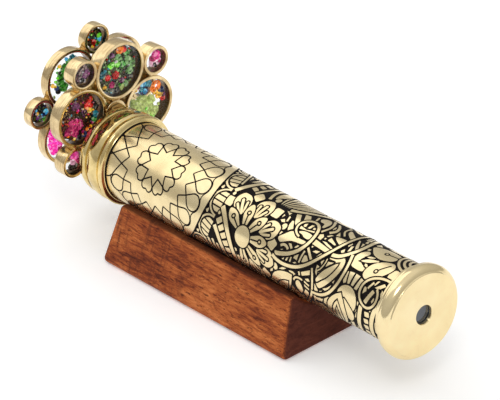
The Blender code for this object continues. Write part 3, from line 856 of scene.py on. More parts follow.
# Small convex bits of brass that fill the ground between the larger shapes
BITS = [
    (38.4, 1.0, 40.2, 0.2, 43.0, 3.8, 42.7, 5.9, 41.6, 5.2),
    (39.8, 4.7, 40.6, 4.6, 43.0, 7.6, 41.3, 9.1, 40.2, 7.6),
    (41.3, -1.0, 43.6, -1.6, 45.3, 0.2, 43.4, 2.0), (33.8, 1.8, 36.4, 1.4, 36.4, 3.2),
    (34.3, 3.8, 35.1, 4.2, 34.6, 5.6), (35.0, 6.6, 36.4, 5.6, 37.6, 6.8, 36.2, 7.3),
    (36.9, 3.4, 37.8, 3.7, 38.4, 6.0, 37.7, 6.2), (38.5, 11.8, 39.0, 10.6, 39.9, 10.5, 39.2, 12.0),
    (45.4, 3.6, 46.4, 2.4, 47.0, 4.4, 46.0, 4.7), (48.4, 2.2, 49.6, 2.0, 49.2, 4.3, 48.1, 4.5),
    (50.2, 3.0, 51.2, 2.9, 51.5, 3.8, 50.4, 4.0),
    (44.8, 4.9, 48.4, 5.4, 52.1, 4.3, 52.2, 5.1, 48.4, 5.7, 45.4, 6.3),
    (46.0, -3.2, 46.8, -3.5, 47.7, -0.8, 47.0, -0.3),
    (45.2, 13.2, 46.6, 13.0, 48.0, 14.2, 47.4, 14.9), (42.5, 16.8, 44.0, 16.1, 43.4, 16.8),
    (48.6, 13.7, 49.6, 12.4, 50.5, 12.3, 49.6, 13.6), (44.4, 19.9, 45.7, 18.9, 45.5, 19.8),
    (46.4, 19.7, 46.9, 18.4, 47.8, 18.1, 47.3, 19.6),
    (48.5, 19.5, 48.7, 17.6, 49.4, 17.4, 49.3, 19.4),
    (50.2, 17.4, 50.6, 15.6, 52.1, 15.0, 52.2, 17.6),
    (50.3, 19.2, 51.7, 18.4, 52.5, 18.6, 51.6, 19.1),
    (54.9, 14.5, 56.0, 14.2, 57.8, 15.8, 56.2, 17.0, 54.7, 17.3),
    (54.2, 11.5, 55.0, 10.9, 59.2, 14.4, 58.6, 15.3),
    (57.6, 11.8, 58.7, 10.9, 60.8, 10.5, 59.8, 11.8),
    (60.5, 12.8, 61.7, 10.9, 62.9, 10.9, 61.3, 13.2),
    (55.9, 10.0, 56.7, 9.9, 56.6, 10.5, 56.0, 10.6), (55.1, 7.0, 64.9, 8.3, 64.0, 9.9, 55.2, 9.3),
    (58.3, 6.4, 60.2, 6.1, 65.4, 7.3, 65.0, 7.8, 61.5, 7.3),
    (60.0, 5.1, 60.4, 3.4, 64.7, 5.2, 64.4, 5.7),
    (54.9, 4.4, 56.2, 3.6, 57.3, 4.6, 57.2, 6.4, 55.3, 6.2),
    (58.2, 4.6, 58.9, 4.6, 58.9, 5.3, 58.2, 5.3), (58.0, 3.7, 59.2, 2.2, 60.1, 2.0, 58.9, 3.7),
    (56.1, -3.2, 57.2, -2.0, 57.0, -0.6, 56.3, -0.8), (60.2, -1.2, 61.6, 0.0, 62.4, 0.9, 60.8, 1.5),
    (43.5, 24.3, 45.4, 23.0, 47.8, 22.5, 45.8, 23.9),
    (49.0, 22.9, 51.2, 22.4, 52.8, 23.0, 51.8, 23.9, 49.6, 23.3),
    (54.1, 21.3, 54.9, 21.1, 55.5, 22.4, 54.7, 22.7),
    (55.7, 21.0, 60.1, 18.6, 60.4, 20.4, 56.4, 22.2),
    (58.1, 22.9, 60.0, 22.0, 60.9, 22.9, 59.6, 23.4),
    (57.7, 23.7, 60.7, 24.6, 60.4, 25.3, 57.8, 24.5),
    (57.7, 25.3, 60.5, 26.3, 60.2, 27.0, 57.8, 26.2),
    (63.4, 25.4, 63.6, 22.6, 65.5, 24.7, 65.0, 25.7),
    (38.2, 27.8, 38.7, 26.2, 40.1, 25.1, 39.7, 27.0), (66.8, 12.5, 69.6, 11.8, 66.8, 14.6),
    (72.5, 18.6, 73.4, 17.4, 73.2, 18.9),
    (68.0, 23.0, 70.4, 21.7, 72.5, 19.8, 71.3, 21.9, 69.4, 23.3),
    (66.0, 24.9, 67.9, 23.9, 67.0, 25.0), (69.6, -2.6, 70.6, -2.2, 73.8, 2.0, 73.5, 3.5, 71.8, 1.4),
    (72.3, -1.7, 73.5, -1.7, 74.0, 1.0), (71.8, -4.8, 72.9, -4.6, 73.6, -2.8, 72.6, -2.6),
    (70.6, 2.4, 71.5, 2.0, 72.1, 4.6, 71.3, 5.4), (68.7, 6.4, 69.6, 4.9, 70.4, 6.3, 69.6, 7.1),
    (69.3, 0.8, 70.2, 1.4, 69.8, 3.4, 69.1, 3.0), (77.0, -0.6, 78.0, -0.9, 78.3, 0.2, 77.2, 0.6),
    (77.1, 12.3, 78.1, 11.9, 79.0, 16.1, 78.0, 16.8, 77.1, 15.6),
    (78.7, 11.7, 81.1, 11.4, 80.8, 16.0, 79.8, 16.2),
    (81.9, 11.4, 84.2, 11.6, 82.9, 16.2, 81.8, 16.1),
    (85.0, 12.0, 86.9, 12.5, 85.2, 16.9, 83.8, 16.8),
    (92.6, 13.9, 94.0, 14.5, 91.6, 20.0, 90.0, 19.4),
    (96.2, 9.9, 97.5, 10.6, 95.0, 13.0, 93.0, 12.8),
    (91.1, 11.0, 91.9, 11.4, 90.4, 14.4, 89.7, 14.0),
    (92.8, 9.9, 93.7, 9.9, 92.7, 12.0, 92.0, 12.1),
    (88.2, 14.0, 89.4, 14.2, 89.9, 15.4, 88.5, 16.9),
    (94.6, 16.3, 95.2, 17.4, 94.4, 18.8, 93.8, 18.0),
    (96.8, 12.4, 98.2, 13.2, 98.0, 15.8, 96.9, 14.4),
    (86.9, 20.6, 87.8, 20.8, 87.5, 22.2, 86.8, 22.0), (93.6, 21.9, 95.2, 21.6, 94.9, 22.5),
    (85.8, 27.8, 86.9, 25.0, 87.3, 26.2, 86.6, 28.2), (63.6, 13.8, 64.8, 12.4, 64.6, 14.6),
    (63.4, 28.6, 68.0, 27.6, 67.0, 29.4, 63.6, 30.0),
    (56.6, 30.0, 58.2, 27.4, 59.8, 28.2, 58.6, 31.4),
    (63.0, 31.4, 67.5, 30.4, 66.5, 33.6, 62.0, 34.8),
    (50.5, -8.5, 54.0, -9.0, 56.0, -7.6, 53.0, -7.0), (3.4, -8.0, 4.8, -7.6, 6.0, -3.6, 5.2, -3.0),
    (7.0, -9.4, 8.4, -9.6, 8.8, -4.6, 7.6, -3.2), (43.8, -4.4, 45.2, -5.4, 47.0, -8.4, 45.0, -8.8),
    (59.6, -9.6, 64.0, -10.0, 66.4, -7.0, 63.4, -7.2),
    (69.8, -12.0, 71.4, -10.0, 70.2, -6.2, 69.2, -8.0),
    (70.2, -5.4, 72.2, -7.6, 73.0, -5.6, 71.4, -5.0),
    (76.4, -7.8, 78.6, -6.2, 77.2, -4.6, 76.2, -5.2),
    (75.8, -12.4, 79.4, -12.6, 79.0, -10.2, 76.2, -9.4), (77.2, 1.0, 77.8, 2.2, 77.0, 3.4),
    (62.6, 15.4, 64.0, 15.6, 63.8, 19.2, 62.8, 18.2), (64.6, 16.4, 65.4, 17.0, 64.6, 18.6),
    (50.2, 29.4, 52.2, 31.0, 51.0, 35.4, 48.6, 35.4, 48.8, 31.4),
    (53.4, 32.4, 56.0, 31.6, 55.2, 35.4, 52.2, 35.4),
    (64.2, 27.2, 63.0, 30.6, 62.2, 30.4, 62.8, 27.4),
    (68.8, 27.0, 72.0, 24.6, 70.4, 28.2, 69.2, 30.0, 68.0, 29.4),
    (57.2, 36.0, 59.6, 32.4, 61.2, 32.8, 60.4, 36.0),
    (68.2, 31.4, 70.0, 30.8, 69.6, 35.2, 67.8, 35.2),
    (86.0, 23.6, 86.9, 23.0, 86.8, 24.6, 86.0, 25.6),
    (97.6, 17.6, 99.0, 19.0, 98.4, 24.0, 97.2, 23.0),
    (97.0, 25.4, 98.4, 25.8, 97.6, 31.4, 96.2, 31.0),
]


def draw_foliage(drawing):
    """Stems, leaves and small bits between the flower and the cap."""
    for level, width, *points in STEMS:
        drawing.stem(curve(pairs(points)), width, level)
    for level, *points in LEAVES:
        drawing.plate(curve(pairs(points), closed=True, steps=3), level)
    for points in BITS:
        drawing.fill("brass", pairs(points), 1)
    for x, s, radius in ((38.8, 8.4, 1.2), (41.5, 24.2, 1.3), (26.0, -0.8, 1.2),
                         (8.0, 6.0, 0.7), (7.0, 15.4, 0.6), (18.6, 26.4, 0.8)):
        drawing.bead((x, s), radius, 4)


def draw_ladders(drawing):
    """Rows of square blocks between two stems."""
    rungs = [(8.3, 18.0, 3.2, 2.2, -40), (10.1, 20.4, 3.2, 2.2, -36), (11.7, 23.1, 3.2, 2.2, -30),
             (12.9, 26.0, 3.2, 2.2, -24), (13.8, 28.9, 3.2, 2.2, -16), (14.3, 31.9, 3.2, 2.2, -8),
             (13.1, -0.4, 2.8, 1.9, 22), (13.9, -3.6, 2.8, 1.9, 14), (14.2, -6.8, 2.8, 1.9, 4),
             (14.0, -10.2, 2.8, 1.9, -4)]
    rungs += [(92.7 - 0.6 * k, 23.9 + 3.2 * k, 2.5, 2.1, -8) for k in range(5)]
    for x, s, along, across, turn in rungs:
        drawing.plate(block((x, s), along, across, turn), 2)


def draw_rays(drawing):
    """Rays of fine strokes above the flower, and slanting spikes along both seams."""
    for k in range(5):
        ray = [(28.6 + 1.0 * k, 0.2), (27.2 + 1.9 * k, -5.0), (24.0 + 2.7 * k, UPPER)]
        drawing.ribbon("brass", curve(ray), (0.3, 1.8), 1)
    for k in range(4):
        ray = [(34.2 + 1.5 * k, -0.7 - 0.8 * k), (36.2 + 1.9 * k, -4.2 - 0.9 * k),
               (37.2 + 2.7 * k, UPPER)]
        drawing.ribbon("brass", curve(ray), (0.3, 1.6), 1)
    spikes = []
    for x in (48.0 + 4.6 * k for k in range(11)):
        spikes += [[(x, UPPER), (x + 1.9, UPPER), (x + 3.6, -10.6), (x + 2.0, -9.4)],
                   [(x + 2.7, UPPER), (x + 3.6, UPPER), (x + 4.9, -11.2)]]
    for x in (16.0 + 5.0 * k for k in range(17)):
        spikes += [[(x, LOWER), (x + 2.0, LOWER), (x + 2.9, 31.6), (x + 1.2, 30.6)],
                   [(x + 2.7, LOWER), (x + 4.0, LOWER), (x + 4.2, 32.8)]]
    for spike in spikes:
        drawing.fill("brass", spike, 1)


def draw_pointed_leaves(drawing):
    """Round dome behind a pointed leaf, a second leaf by the flower, and three fingers."""
    drawing.plate(arc((81.2, 22.0), 5.3, 0, 350, 24), 2)
    for base, tip, width, level in (((73.0, 38.0), (78.1, 20.6), 10.5, 6),
                                    ((74.0, 38.0), (76.4, 24.4), 5.2, 8),
                                    ((74.4, 38.0), (75.8, 27.5), 1.5, 10),
                                    ((38.0, 35.0), (51.0, 24.0), 8.6, 6),
                                    ((40.0, 36.0), (48.4, 28.0), 3.9, 8)):
        drawing.plate(leaf(base, tip, width, 0.7, 0.45), level)
    # Keyholes in the two petals by the cap, and three rings at their root
    drawing.keyhole([(84.6, -2.8), (90.4, -3.8)], (84.6, -2.8), 0.55, 8)
    drawing.keyhole([(88.8, 7.1), (92.2, 2.0)], (88.8, 7.1), 0.55, 8)
    for base, tip, width in (((83.6, 2.3), (80.4, 3.5), 1.0), ((86.2, 2.9), (79.6, 6.2), 1.7),
                             ((84.0, 7.3), (82.2, 6.4), 1.1)):
        drawing.plate(leaf(base, tip, width, 0.6), 6)
    for radius in (9.3, 7.2, 5.1):
        drawing.stem(arc((99.6, -7.4), radius, 0, 360, 48), 1.0, 10)


def draw_end_shadows(drawing):
    """Dark lines on the tube beside the collar and the cap: painted shade of the two fittings."""
    for low, high in ((ETCH_X[0], ETCH_X[0] + 1.0), (ETCH_X[1] - 0.7, ETCH_X[1])):
        corners = [(low, ETCH_S[0]), (high, ETCH_S[0]), (high, ETCH_S[1]), (low, ETCH_S[1])]
        drawing.fill("ink", corners, 30)


def make_etching():
    drawing = Drawing()
    draw_fans(drawing)
    draw_flower(drawing, (22.0, 19.6), -98.5, 8)
    draw_foliage(drawing)
    draw_ladders(drawing)
    draw_rays(drawing)
    draw_pointed_leaves(drawing)
    draw_medallion(drawing)
    draw_end_shadows(drawing)
    drawing.build("tube_etched_plates", "brass", ETCHED)
    drawing.build("tube_etched_lines", "ink", INK)


# ---------------------------------------------------------------- turned fittings

COLLAR_SIDE = (0.0, 17.1, 0.15, 17.45, 0.9, 17.75, 1.8, 17.85, 2.9, 17.8, 3.4, 17.55, 3.6, 17.0,
               3.75, 16.75, 3.95, 16.75, 4.15, 17.3, 4.6, 17.8, 5.7, 18.25, 7.0, 18.45,
               8.2, 18.5, 9.4, 18.42, 10.2, 18.2, 10.7, 17.85, 10.95, 17.3, 11.1, 16.85,
               11.3, 16.75)          # distance from the end plate and radius, mm


def make_turned(outline, segments, name, material, node, slot, sharp_angle):
    """Piece of the scope turned about the tube's axis."""
    solid = Solid()
    solid.turn(outline, (0.0, AXIS_Z), segments)
    solid.build(name, [material], "scope", node, slot, sharp_angle)


def make_tube():
    """Dark ground under the etching."""
    low, high = TUBE_LOW.x, TUBE_HIGH.x
    inner = TUBE_R - TUBE_WALL
    make_turned([(low, inner), (low, TUBE_R), (high, TUBE_R), (high, inner)], 90,
                "tube_ground", INK, "tube", "etched_brass", 35.0)


def make_cap():
    """Eyepiece cap: a cove flares to a rounded rim, then a flat face with the eye hole."""
    start, face = CAP_X
    bore = TUBE_R + FIT
    outline = [(start, bore), (start, 16.9 * MM)]
    outline += arc((start + 0.2 * MM, 20.0 * MM), 3.0 * MM, -88, -20, 12)
    outline += [(face - 3.7 * MM + 3.4 * MM * math.cos(math.radians(a)),
                 15.9 * MM + 3.3 * MM * math.sin(math.radians(a))) for a in range(112, 20, -5)]
    outline += [(face - 0.1 * MM, 16.9 * MM), (face, 16.75 * MM)]
    outline += arc((face - 0.4 * MM, 4.3 * MM), 0.4 * MM, 0, -90, 4)
    outline += [(face - 1.5 * MM, 3.9 * MM), (face - 1.5 * MM, bore)]
    make_turned(outline, 128, "eyepiece_cap_turned", POLISHED, "eyepiece_cap",
                "polished_brass", 28.0)


def make_collar():
    """Collar: flange, groove, wide bead, groove, narrow bead and lip, with an end plate."""
    face, lip = COLLAR_X
    bore = TUBE_R + FIT
    outline = [(face, 9.7 * MM)] + [(face + x * MM, r * MM) for x, r in pairs(COLLAR_SIDE)]
    outline += arc((lip - 1.6 * MM, 17.45 * MM), 1.15 * MM, 158, 12, 12)
    outline += [(lip - 0.2 * MM, 16.95 * MM), (lip, 16.8 * MM), (lip, bore)]
    outline += [(face + 1.6 * MM, bore), (face + 1.6 * MM, 9.5 * MM), (face + 0.2 * MM, 9.5 * MM)]
    make_turned(outline, 128, "objective_collar_turned", GOLDEN, "objective_collar",
                "polished_brass", 30.0)


# ---------------------------------------------------------------- gem wheels

HUB_R = 5.0 * MM
HUB_BORE = 1.8 * MM
RING_WALLS = {"cell": 1.4 * MM, "small_cell": 1.3 * MM}
HUB_EDGE, RING_EDGE = 0.3 * MM, 0.22 * MM        # rounding of their edges
SOLDER = (0.75 * MM, 2.1 * MM)       # half width of a blob between and across two rings
SOLDER_REACH = 0.5 * MM              # widest gap that is soldered
# The bore edge takes the second, darker finish: painted shade inside each ring.
BORE_EDGE = 7                        # the edge of a ring's outline that sweeps its bore


def ring_outline(x_range, inner, outer, edge):
    """Section of a ring with small rounded edges."""
    low, high = x_range
    points = []
    for centre, start in (((high - edge, outer - edge), 90), ((high - edge, inner + edge), 0),
                          ((low + edge, inner + edge), -90), ((low + edge, outer - edge), -180)):
        points += arc(centre, edge, start, start - 90, 3)
    return points


def cell_places(wheel):
    """(name, centre (y, z), glass radius, wall) of the wheel's eight cells."""
    places = []
    for kind, wall in RING_WALLS.items():
        for number in (1, 2, 3, 4):
            name = f"{wheel}_{kind}_{number}"
            low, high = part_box(f"{name}_front_glass")
            middle = (low + high) / 2
            places.append((name, (middle.y, middle.z), (high.y - low.y) / 2, wall))
    return places


def solder_blob(solid, place, direction, x_range):
    """Swollen fillet of solder that fills the notch between two touching rings."""
    low, high = x_range[0] + 0.35 * MM, x_range[1] - 0.35 * MM
    rows = []
    for x, swell in ((low, 0.75), (low + 0.3 * MM, 1.0), (high - 0.3 * MM, 1.0), (high, 0.75)):
        row = []
        for k in range(12):
            angle = math.tau * k / 12
            along = SOLDER[0] * swell * math.cos(angle)
            across = SOLDER[1] * swell * math.sin(angle)
            row.append((x, place[0] + direction[0] * along - direction[1] * across,
                        place[1] + direction[1] * along + direction[0] * across))
        rows.append(row)
    solid.cover(rows)


def make_wheel_frame(wheel):
    """Hub and eight rings cut from tube, soldered where they touch."""
    x_range = node_span(f"{wheel}_wheel_frame", 0)
    pivot = JOINTS[f"{wheel}_wheel_spin"]["pos_m"][1:]
    solid = Solid()
    solid.turn(ring_outline(x_range, HUB_BORE, HUB_R, HUB_EDGE), pivot, 48)
    rings = []
    for _, centre, glass, wall in cell_places(wheel):
        outer = glass + FIT + wall
        outline = ring_outline(x_range, outer - wall, outer, RING_EDGE)
        solid.turn(outline, centre, 72, (BORE_EDGE,))
        rings.append((centre, outer))
    rings.append((pivot, HUB_R))
    for i, (here, radius) in enumerate(rings):
        for there, other in rings[i + 1:]:
            gap = math.dist(here, there) - radius - other
            if gap < SOLDER_REACH:
                direction = [(b - a) / math.dist(here, there) for a, b in zip(here, there)]
                place = [a + d * (radius + gap / 2) for a, d in zip(here, direction)]
                solder_blob(solid, place, direction, x_range)
    solid.build(f"{wheel}_wheel_rings", [SATIN, SHADED_BORE], f"{wheel}_wheel",
                f"{wheel}_wheel_frame", "satin_brass", 40.0)


def gem_ring(bm):
    """Glass ring with a round section, flattened a little."""
    steps, sides = 20, 10
    for k in range(steps):
        angle = math.tau * k / steps
        for j in range(sides):
            tip = math.tau * j / sides
            radius = 0.68 + 0.34 * math.cos(tip)
            bm.verts.new((0.5 * math.sin(tip), radius * math.cos(angle),
                          radius * math.sin(angle)))
    bm.verts.ensure_lookup_table()
    for face in skin(sides, steps, True):
        bm.faces.new([bm.verts[i] for i in face])


def gem_chip(bm, corners, rng):
    """Cut chip: the convex solid round a few random points."""
    for k in range(corners):
        angle = math.tau * (k + rng.uniform(-0.3, 0.3)) / corners
        reach = rng.uniform(0.75, 1.05)
        for x in (-0.8, 0.8):
            inward = reach * rng.uniform(0.72, 0.98)
            bm.verts.new((x * rng.uniform(0.6, 1.0), inward * math.cos(angle),
                          inward * math.sin(angle)))
        bm.verts.new((rng.uniform(-0.3, 0.3), reach * math.cos(angle), reach * math.sin(angle)))
    made = bmesh.ops.convex_hull(bm, input=bm.verts[:])
    spare = set(made["geom_interior"]) | set(made["geom_unused"])
    bmesh.ops.delete(bm, geom=[g for g in spare if isinstance(g, bmesh.types.BMVert)],
                     context="VERTS")


# Shares of a piece's radius
GEM_THICKNESS = {"chip": 0.5, "sliver": 0.35, "flake": 0.22, "oval": 0.8}
GEM_LENGTH = {"oval": 1.7, "sliver": 1.7}
CHIP_CORNERS = {"chip": 7, "sliver": 6, "flake": 8}
GLASS_GAP = 0.03 * MM                # between a gem and the glass of its cell
RIM_GAP = 0.1                        # between a gem and its ring, mm
MAX_TRIES = 900                      # places tried for the scattered pieces of a cell


def gem_shape(shape, rng):
    """One loose piece of radius 1 (before scaling) in a bmesh of its own."""
    bm = bmesh.new()
    if shape in CHIP_CORNERS:
        gem_chip(bm, CHIP_CORNERS[shape], rng)
    elif shape == "ring":
        gem_ring(bm)
    else:
        bmesh.ops.create_icosphere(bm, subdivisions=3, radius=1.0)
    return bm


def make_gems(wheel, cell, contents):
    """Loose pieces in one cell: (shape, colour, y, z, radius, length, turn, depth share)."""
    rng = random.Random(cell)
    front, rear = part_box(f"{cell}_front_glass"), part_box(f"{cell}_rear_glass")
    near, far = front[0].x - GLASS_GAP, rear[1].x + GLASS_GAP
    centre = (front[0] + front[1]) / 2
    limit = (front[1].y - front[0].y) / 2 / MM - RIM_GAP
    names = sorted({item[1] for item in contents})
    whole = bmesh.new()
    for shape, colour, y, z, size, length, turn, layer in contents:
        bm = gem_shape(shape, rng)
        depth = min((near - far) / 2, size * MM * GEM_THICKNESS.get(shape, 1.0))
        reach = math.hypot(y, z) + size * max(1.0, 0.8 * length)
        shrink = min(1.0, (limit - size) / max(math.hypot(y, z), 0.01)) if reach > limit else 1.0
        place = Vector((near - depth - layer * (near - far - 2 * depth),
                        centre.y + y * shrink * MM, centre.z + z * shrink * MM))
        scale = Matrix.Diagonal((depth, size * length * MM, size * MM, 1.0))
        turned = Matrix.Rotation(math.radians(turn), 4, "X")
        bm.transform(Matrix.Translation(place) @ turned @ scale)
        for face in bm.faces:
            face.material_index = names.index(colour)
        mesh = bpy.data.meshes.new("loose")
        bm.to_mesh(mesh)
        bm.free()
        whole.from_mesh(mesh)
        bpy.data.meshes.remove(mesh)
    bmesh.ops.recalc_face_normals(whole, faces=whole.faces[:])
    mesh = bpy.data.meshes.new(f"{cell}_gems")
    whole.to_mesh(mesh)
    whole.free()
    for name in names:
        mesh.materials.append(GEMS[name])
    smooth(mesh, 24.0)
    item = new_object(f"{cell}_gems", mesh)
    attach(item, f"{wheel}_wheel")
    if f"{cell}_gem" in frame["nodes"]:
        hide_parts(f"{cell}_gem")


def scattered(cell, radius, colours, count, size, layer):
    """Loose pieces at seeded random places, apart from each other."""
    rng = random.Random(cell + " places")
    found = []
    tries = 0
    while len(found) < count and tries < MAX_TRIES:
        tries += 1
        reach = rng.uniform(0.6, 1.25) * size
        angle, distance = rng.uniform(0, math.tau), math.sqrt(rng.random()) * (radius - reach)
        y, z = distance * math.sin(angle), distance * math.cos(angle)
        if any(math.hypot(y - g[2], z - g[3]) < 0.8 * (reach + g[4]) for g in found):
            continue
        shape = rng.choice(("bead", "chip", "chip", "bead", "oval"))
        length = rng.uniform(1.3, 1.9) if shape == "oval" else 1.0
        found.append((shape, rng.choice(colours), y, z, reach, length, rng.uniform(0, 180),
                      layer))
    return found


def bed(radius, colour, size):
    """Overlapping flakes that cover the back of a cell."""
    rows = math.ceil(radius / size)
    pieces = []
    for j in range(-rows, rows + 1):
        for i in range(-rows, rows + 1):
            y, z = size * (1.2 * i + 0.6 * (j % 2)), size * 1.05 * j
            if math.hypot(y, z) < radius:
                pieces.append(("flake", colour, y, z, size, 1.0, 37 * i + 71 * j, 0.5))
    return pieces


# Loose pieces in the cells that show: (shape, colour, then (y, z, radius) of each), mm
CELL_PIECES = {
    "front_cell_1": (
        ("bead", "orange", (2.4, 7.6, 2.0)), ("bead", "red", (4.4, 6.9, 1.3)),
        ("chip", "lime", (-2.7, 2.6, 1.9), (0.4, 1.8, 1.7)),
        ("chip", "leaf_green", (1.4, 4.6, 2.0)), ("chip", "green", (3.0, 1.0, 1.9)),
        ("chip", "pearl", (-0.2, 3.4, 0.9)),
        ("chip", "leaf_green", (5.8, 1.6, 2.4), (7.7, -0.6, 2.0), (6.2, -3.1, 1.9)),
        ("bead", "red", (-0.6, -2.6, 1.9), (-4.7, -2.2, 1.4)),
        ("bead", "raspberry", (-2.9, -6.0, 1.5)), ("bead", "smoke", (-1.5, -4.6, 1.0)),
        ("bead", "clear", (-3.1, -9.1, 1.0)), ("bead", "smoke", (-0.9, -10.2, 1.3)),
        ("oval", "teal", (-7.0, 0.4, 1.3)), ("bead", "amber", (-6.7, -5.6, 0.9)),
        ("chip", "olive", (2.0, -10.0, 1.5)), ("chip", "leaf_green", (4.3, -9.0, 1.6)),
        ("chip", "violet", (-2.2, 6.8, 1.4)), ("chip", "smoke", (9.0, -7.6, 2.2)),
        ("bead", "violet", (2.1, -6.0, 1.3)), ("chip", "green", (5.6, 5.3, 1.8))),
    "front_cell_2": (
        ("chip", "sky", (-0.6, 8.6, 1.8)), ("chip", "teal", (2.0, 8.0, 2.0)),
        ("ring", "navy", (0.1, 5.2, 2.1)), ("bead", "sky", (0.1, 5.2, 1.1)),
        ("chip", "teal", (-1.6, 6.6, 1.3)), ("ring", "orange", (6.6, 5.2, 2.3)),
        ("bead", "orange", (4.6, 4.0, 1.3)), ("bead", "amber", (5.4, 2.6, 1.3)),
        ("oval", "amber", (7.6, 0.9, 1.4)), ("bead", "red", (8.9, -1.4, 1.3)),
        ("bead", "navy", (10.5, 2.6, 1.6)), ("bead", "violet", (10.1, 0.3, 1.3)),
        ("chip", "olive", (-5.1, 0.8, 3.0), (-1.6, 1.2, 3.2), (1.4, -2.4, 3.4), (3.6, -5.2, 2.8),
         (3.0, 0.2, 2.4), (-2.6, -2.6, 3.2), (-0.6, -5.6, 3.0)),
        ("chip", "lime", (2.6, -7.4, 1.6), (-0.2, -2.5, 1.0))),
    "front_cell_4": (
        ("oval", "red", (5.4, 4.4, 1.6)), ("bead", "red", (6.4, 2.6, 1.0)),
        ("bead", "amber", (5.8, 0.7, 1.2)), ("bead", "orange", (4.3, 2.3, 0.9)),
        ("chip", "violet", (-1.0, 5.2, 2.2), (2.6, 1.2, 1.5)),
        ("chip", "raspberry", (-3.4, -2.6, 3.3), (-5.4, -4.2, 2.6), (-2.6, -5.4, 2.6),
         (-0.2, -3.2, 2.9)), ("chip", "pink", (-2.0, -1.6, 1.8)),
        ("chip", "teal", (9.0, -2.0, 1.7)), ("chip", "green", (7.4, -3.8, 1.4)),
        ("bead", "smoke", (-0.8, -8.6, 1.6)), ("bead", "navy", (2.4, -9.4, 1.4)),
        ("bead", "orange", (3.6, -6.8, 0.7)), ("bead", "amber", (5.4, -6.2, 0.6)),
        ("bead", "orange", (-6.2, -6.0, 0.6)), ("bead", "pink", (-0.4, 3.2, 0.6)),
        ("chip", "smoke", (9.5, 1.6, 1.6))),
    "front_small_cell_1": (
        ("bead", "pink", (2.5, 0.6, 2.2)), ("bead", "raspberry", (0.3, -0.3, 1.4)),
        ("chip", "blush", (1.5, -4.2, 2.6), (3.6, -2.2, 1.8)),
        ("sliver", "smoke", (0.6, -2.9, 1.1)), ("bead", "raspberry", (4.2, -3.0, 1.1)),
        ("chip", "pearl", (3.0, -3.2, 1.0))),
    "front_small_cell_4": (
        ("bead", "violet", (2.9, -1.3, 2.0)), ("bead", "pink", (3.1, -1.0, 0.8)),
        ("bead", "violet", (4.8, -0.3, 0.9)), ("bead", "smoke", (0.3, -3.0, 1.2)),
        ("bead", "pearl", (1.4, -4.7, 0.8))),
    "front_small_cell_3": (
        ("bead", "pink", (2.0, 1.6, 2.1)), ("chip", "blush", (0.6, -0.6, 1.7)),
        ("chip", "raspberry", (3.4, -0.8, 1.4)), ("chip", "red", (2.4, -3.4, 1.5)),
        ("bead", "smoke", (0.6, -4.0, 1.6)), ("chip", "smoke", (2.6, -4.6, 1.6))),
    "back_cell_4": (
        ("chip", "green", (1.2, 5.9, 2.0), (-1.5, 4.3, 2.5), (-3.2, 2.0, 2.6), (-4.0, -0.7, 2.4),
         (-2.6, -3.4, 2.8)), ("chip", "smoke", (-1.0, 1.4, 2.2)),
        ("chip", "green", (1.6, 1.4, 2.6)), ("chip", "smoke", (-4.4, 3.6, 0.8)),
        ("bead", "lime", (-5.4, 1.6, 0.6)), ("bead", "amber", (-6.9, -1.6, 0.6)),
        ("chip", "lime", (-3.3, -3.1, 1.0)), ("bead", "amber", (-7.9, -0.9, 0.9), (-3.9, 6.2, 0.8)),
        ("chip", "teal", (2.8, 7.3, 1.6)), ("chip", "sky", (-0.4, 8.2, 1.0)),
        ("bead", "navy", (-6.0, -2.8, 1.1)), ("bead", "smoke", (-5.4, -4.4, 1.2)),
        ("chip", "teal", (4.4, 5.4, 1.6)), ("bead", "lime", (-6.6, 0.4, 0.6))),
    "back_small_cell_4": (
        ("chip", "lime", (2.7, -0.1, 1.4)), ("bead", "sky", (3.6, -2.2, 1.4)),
        ("bead", "navy", (5.1, -2.9, 1.2)), ("chip", "green", (1.6, -2.3, 1.2)),
        ("bead", "red", (-0.2, -1.9, 1.2)), ("bead", "amber", (-1.2, -3.6, 0.7)),
        ("chip", "green", (2.4, -4.9, 1.3))),
    "back_small_cell_3": (
        ("bead", "sky", (3.4, -0.6, 1.4)), ("bead", "navy", (1.8, -1.2, 1.1)),
        ("bead", "clear", (0.3, -1.6, 0.9)), ("bead", "violet", (-1.2, -1.7, 1.0)),
        ("chip", "green", (2.4, -3.5, 1.1)), ("bead", "pearl", (0.8, -3.7, 0.6)),
        ("bead", "amber", (-1.1, 0.2, 0.7)), ("bead", "lime", (2.2, -5.2, 0.6))),
    "back_cell_3": (
        ("chip", "magenta", (-6.6, 2.6, 2.4), (-5.6, 0.0, 3.0), (-6.4, -3.0, 3.0),
         (-3.2, -2.2, 2.8)), ("bead", "magenta", (-6.0, -5.4, 1.8)),
        ("chip", "raspberry", (-3.6, -5.0, 2.2)),
        ("chip", "olive", (-2.4, -7.4, 2.2), (0.4, -6.6, 1.8)),
        ("chip", "raspberry", (-1.7, -0.7, 1.8))),
}
# Crushed glass that covers the back of a cell: (kind, flake size)
CELL_BEDS = {
    "front_cell_1": ("crushed_green", 2.0),
    "front_cell_4": ("crushed_plum", 2.0),
    "front_small_cell_4": ("crushed_mauve", 1.6),
    "back_small_cell_3": ("crushed_dark", 1.6),
    "back_small_cell_4": ("crushed_dark", 1.6),
}
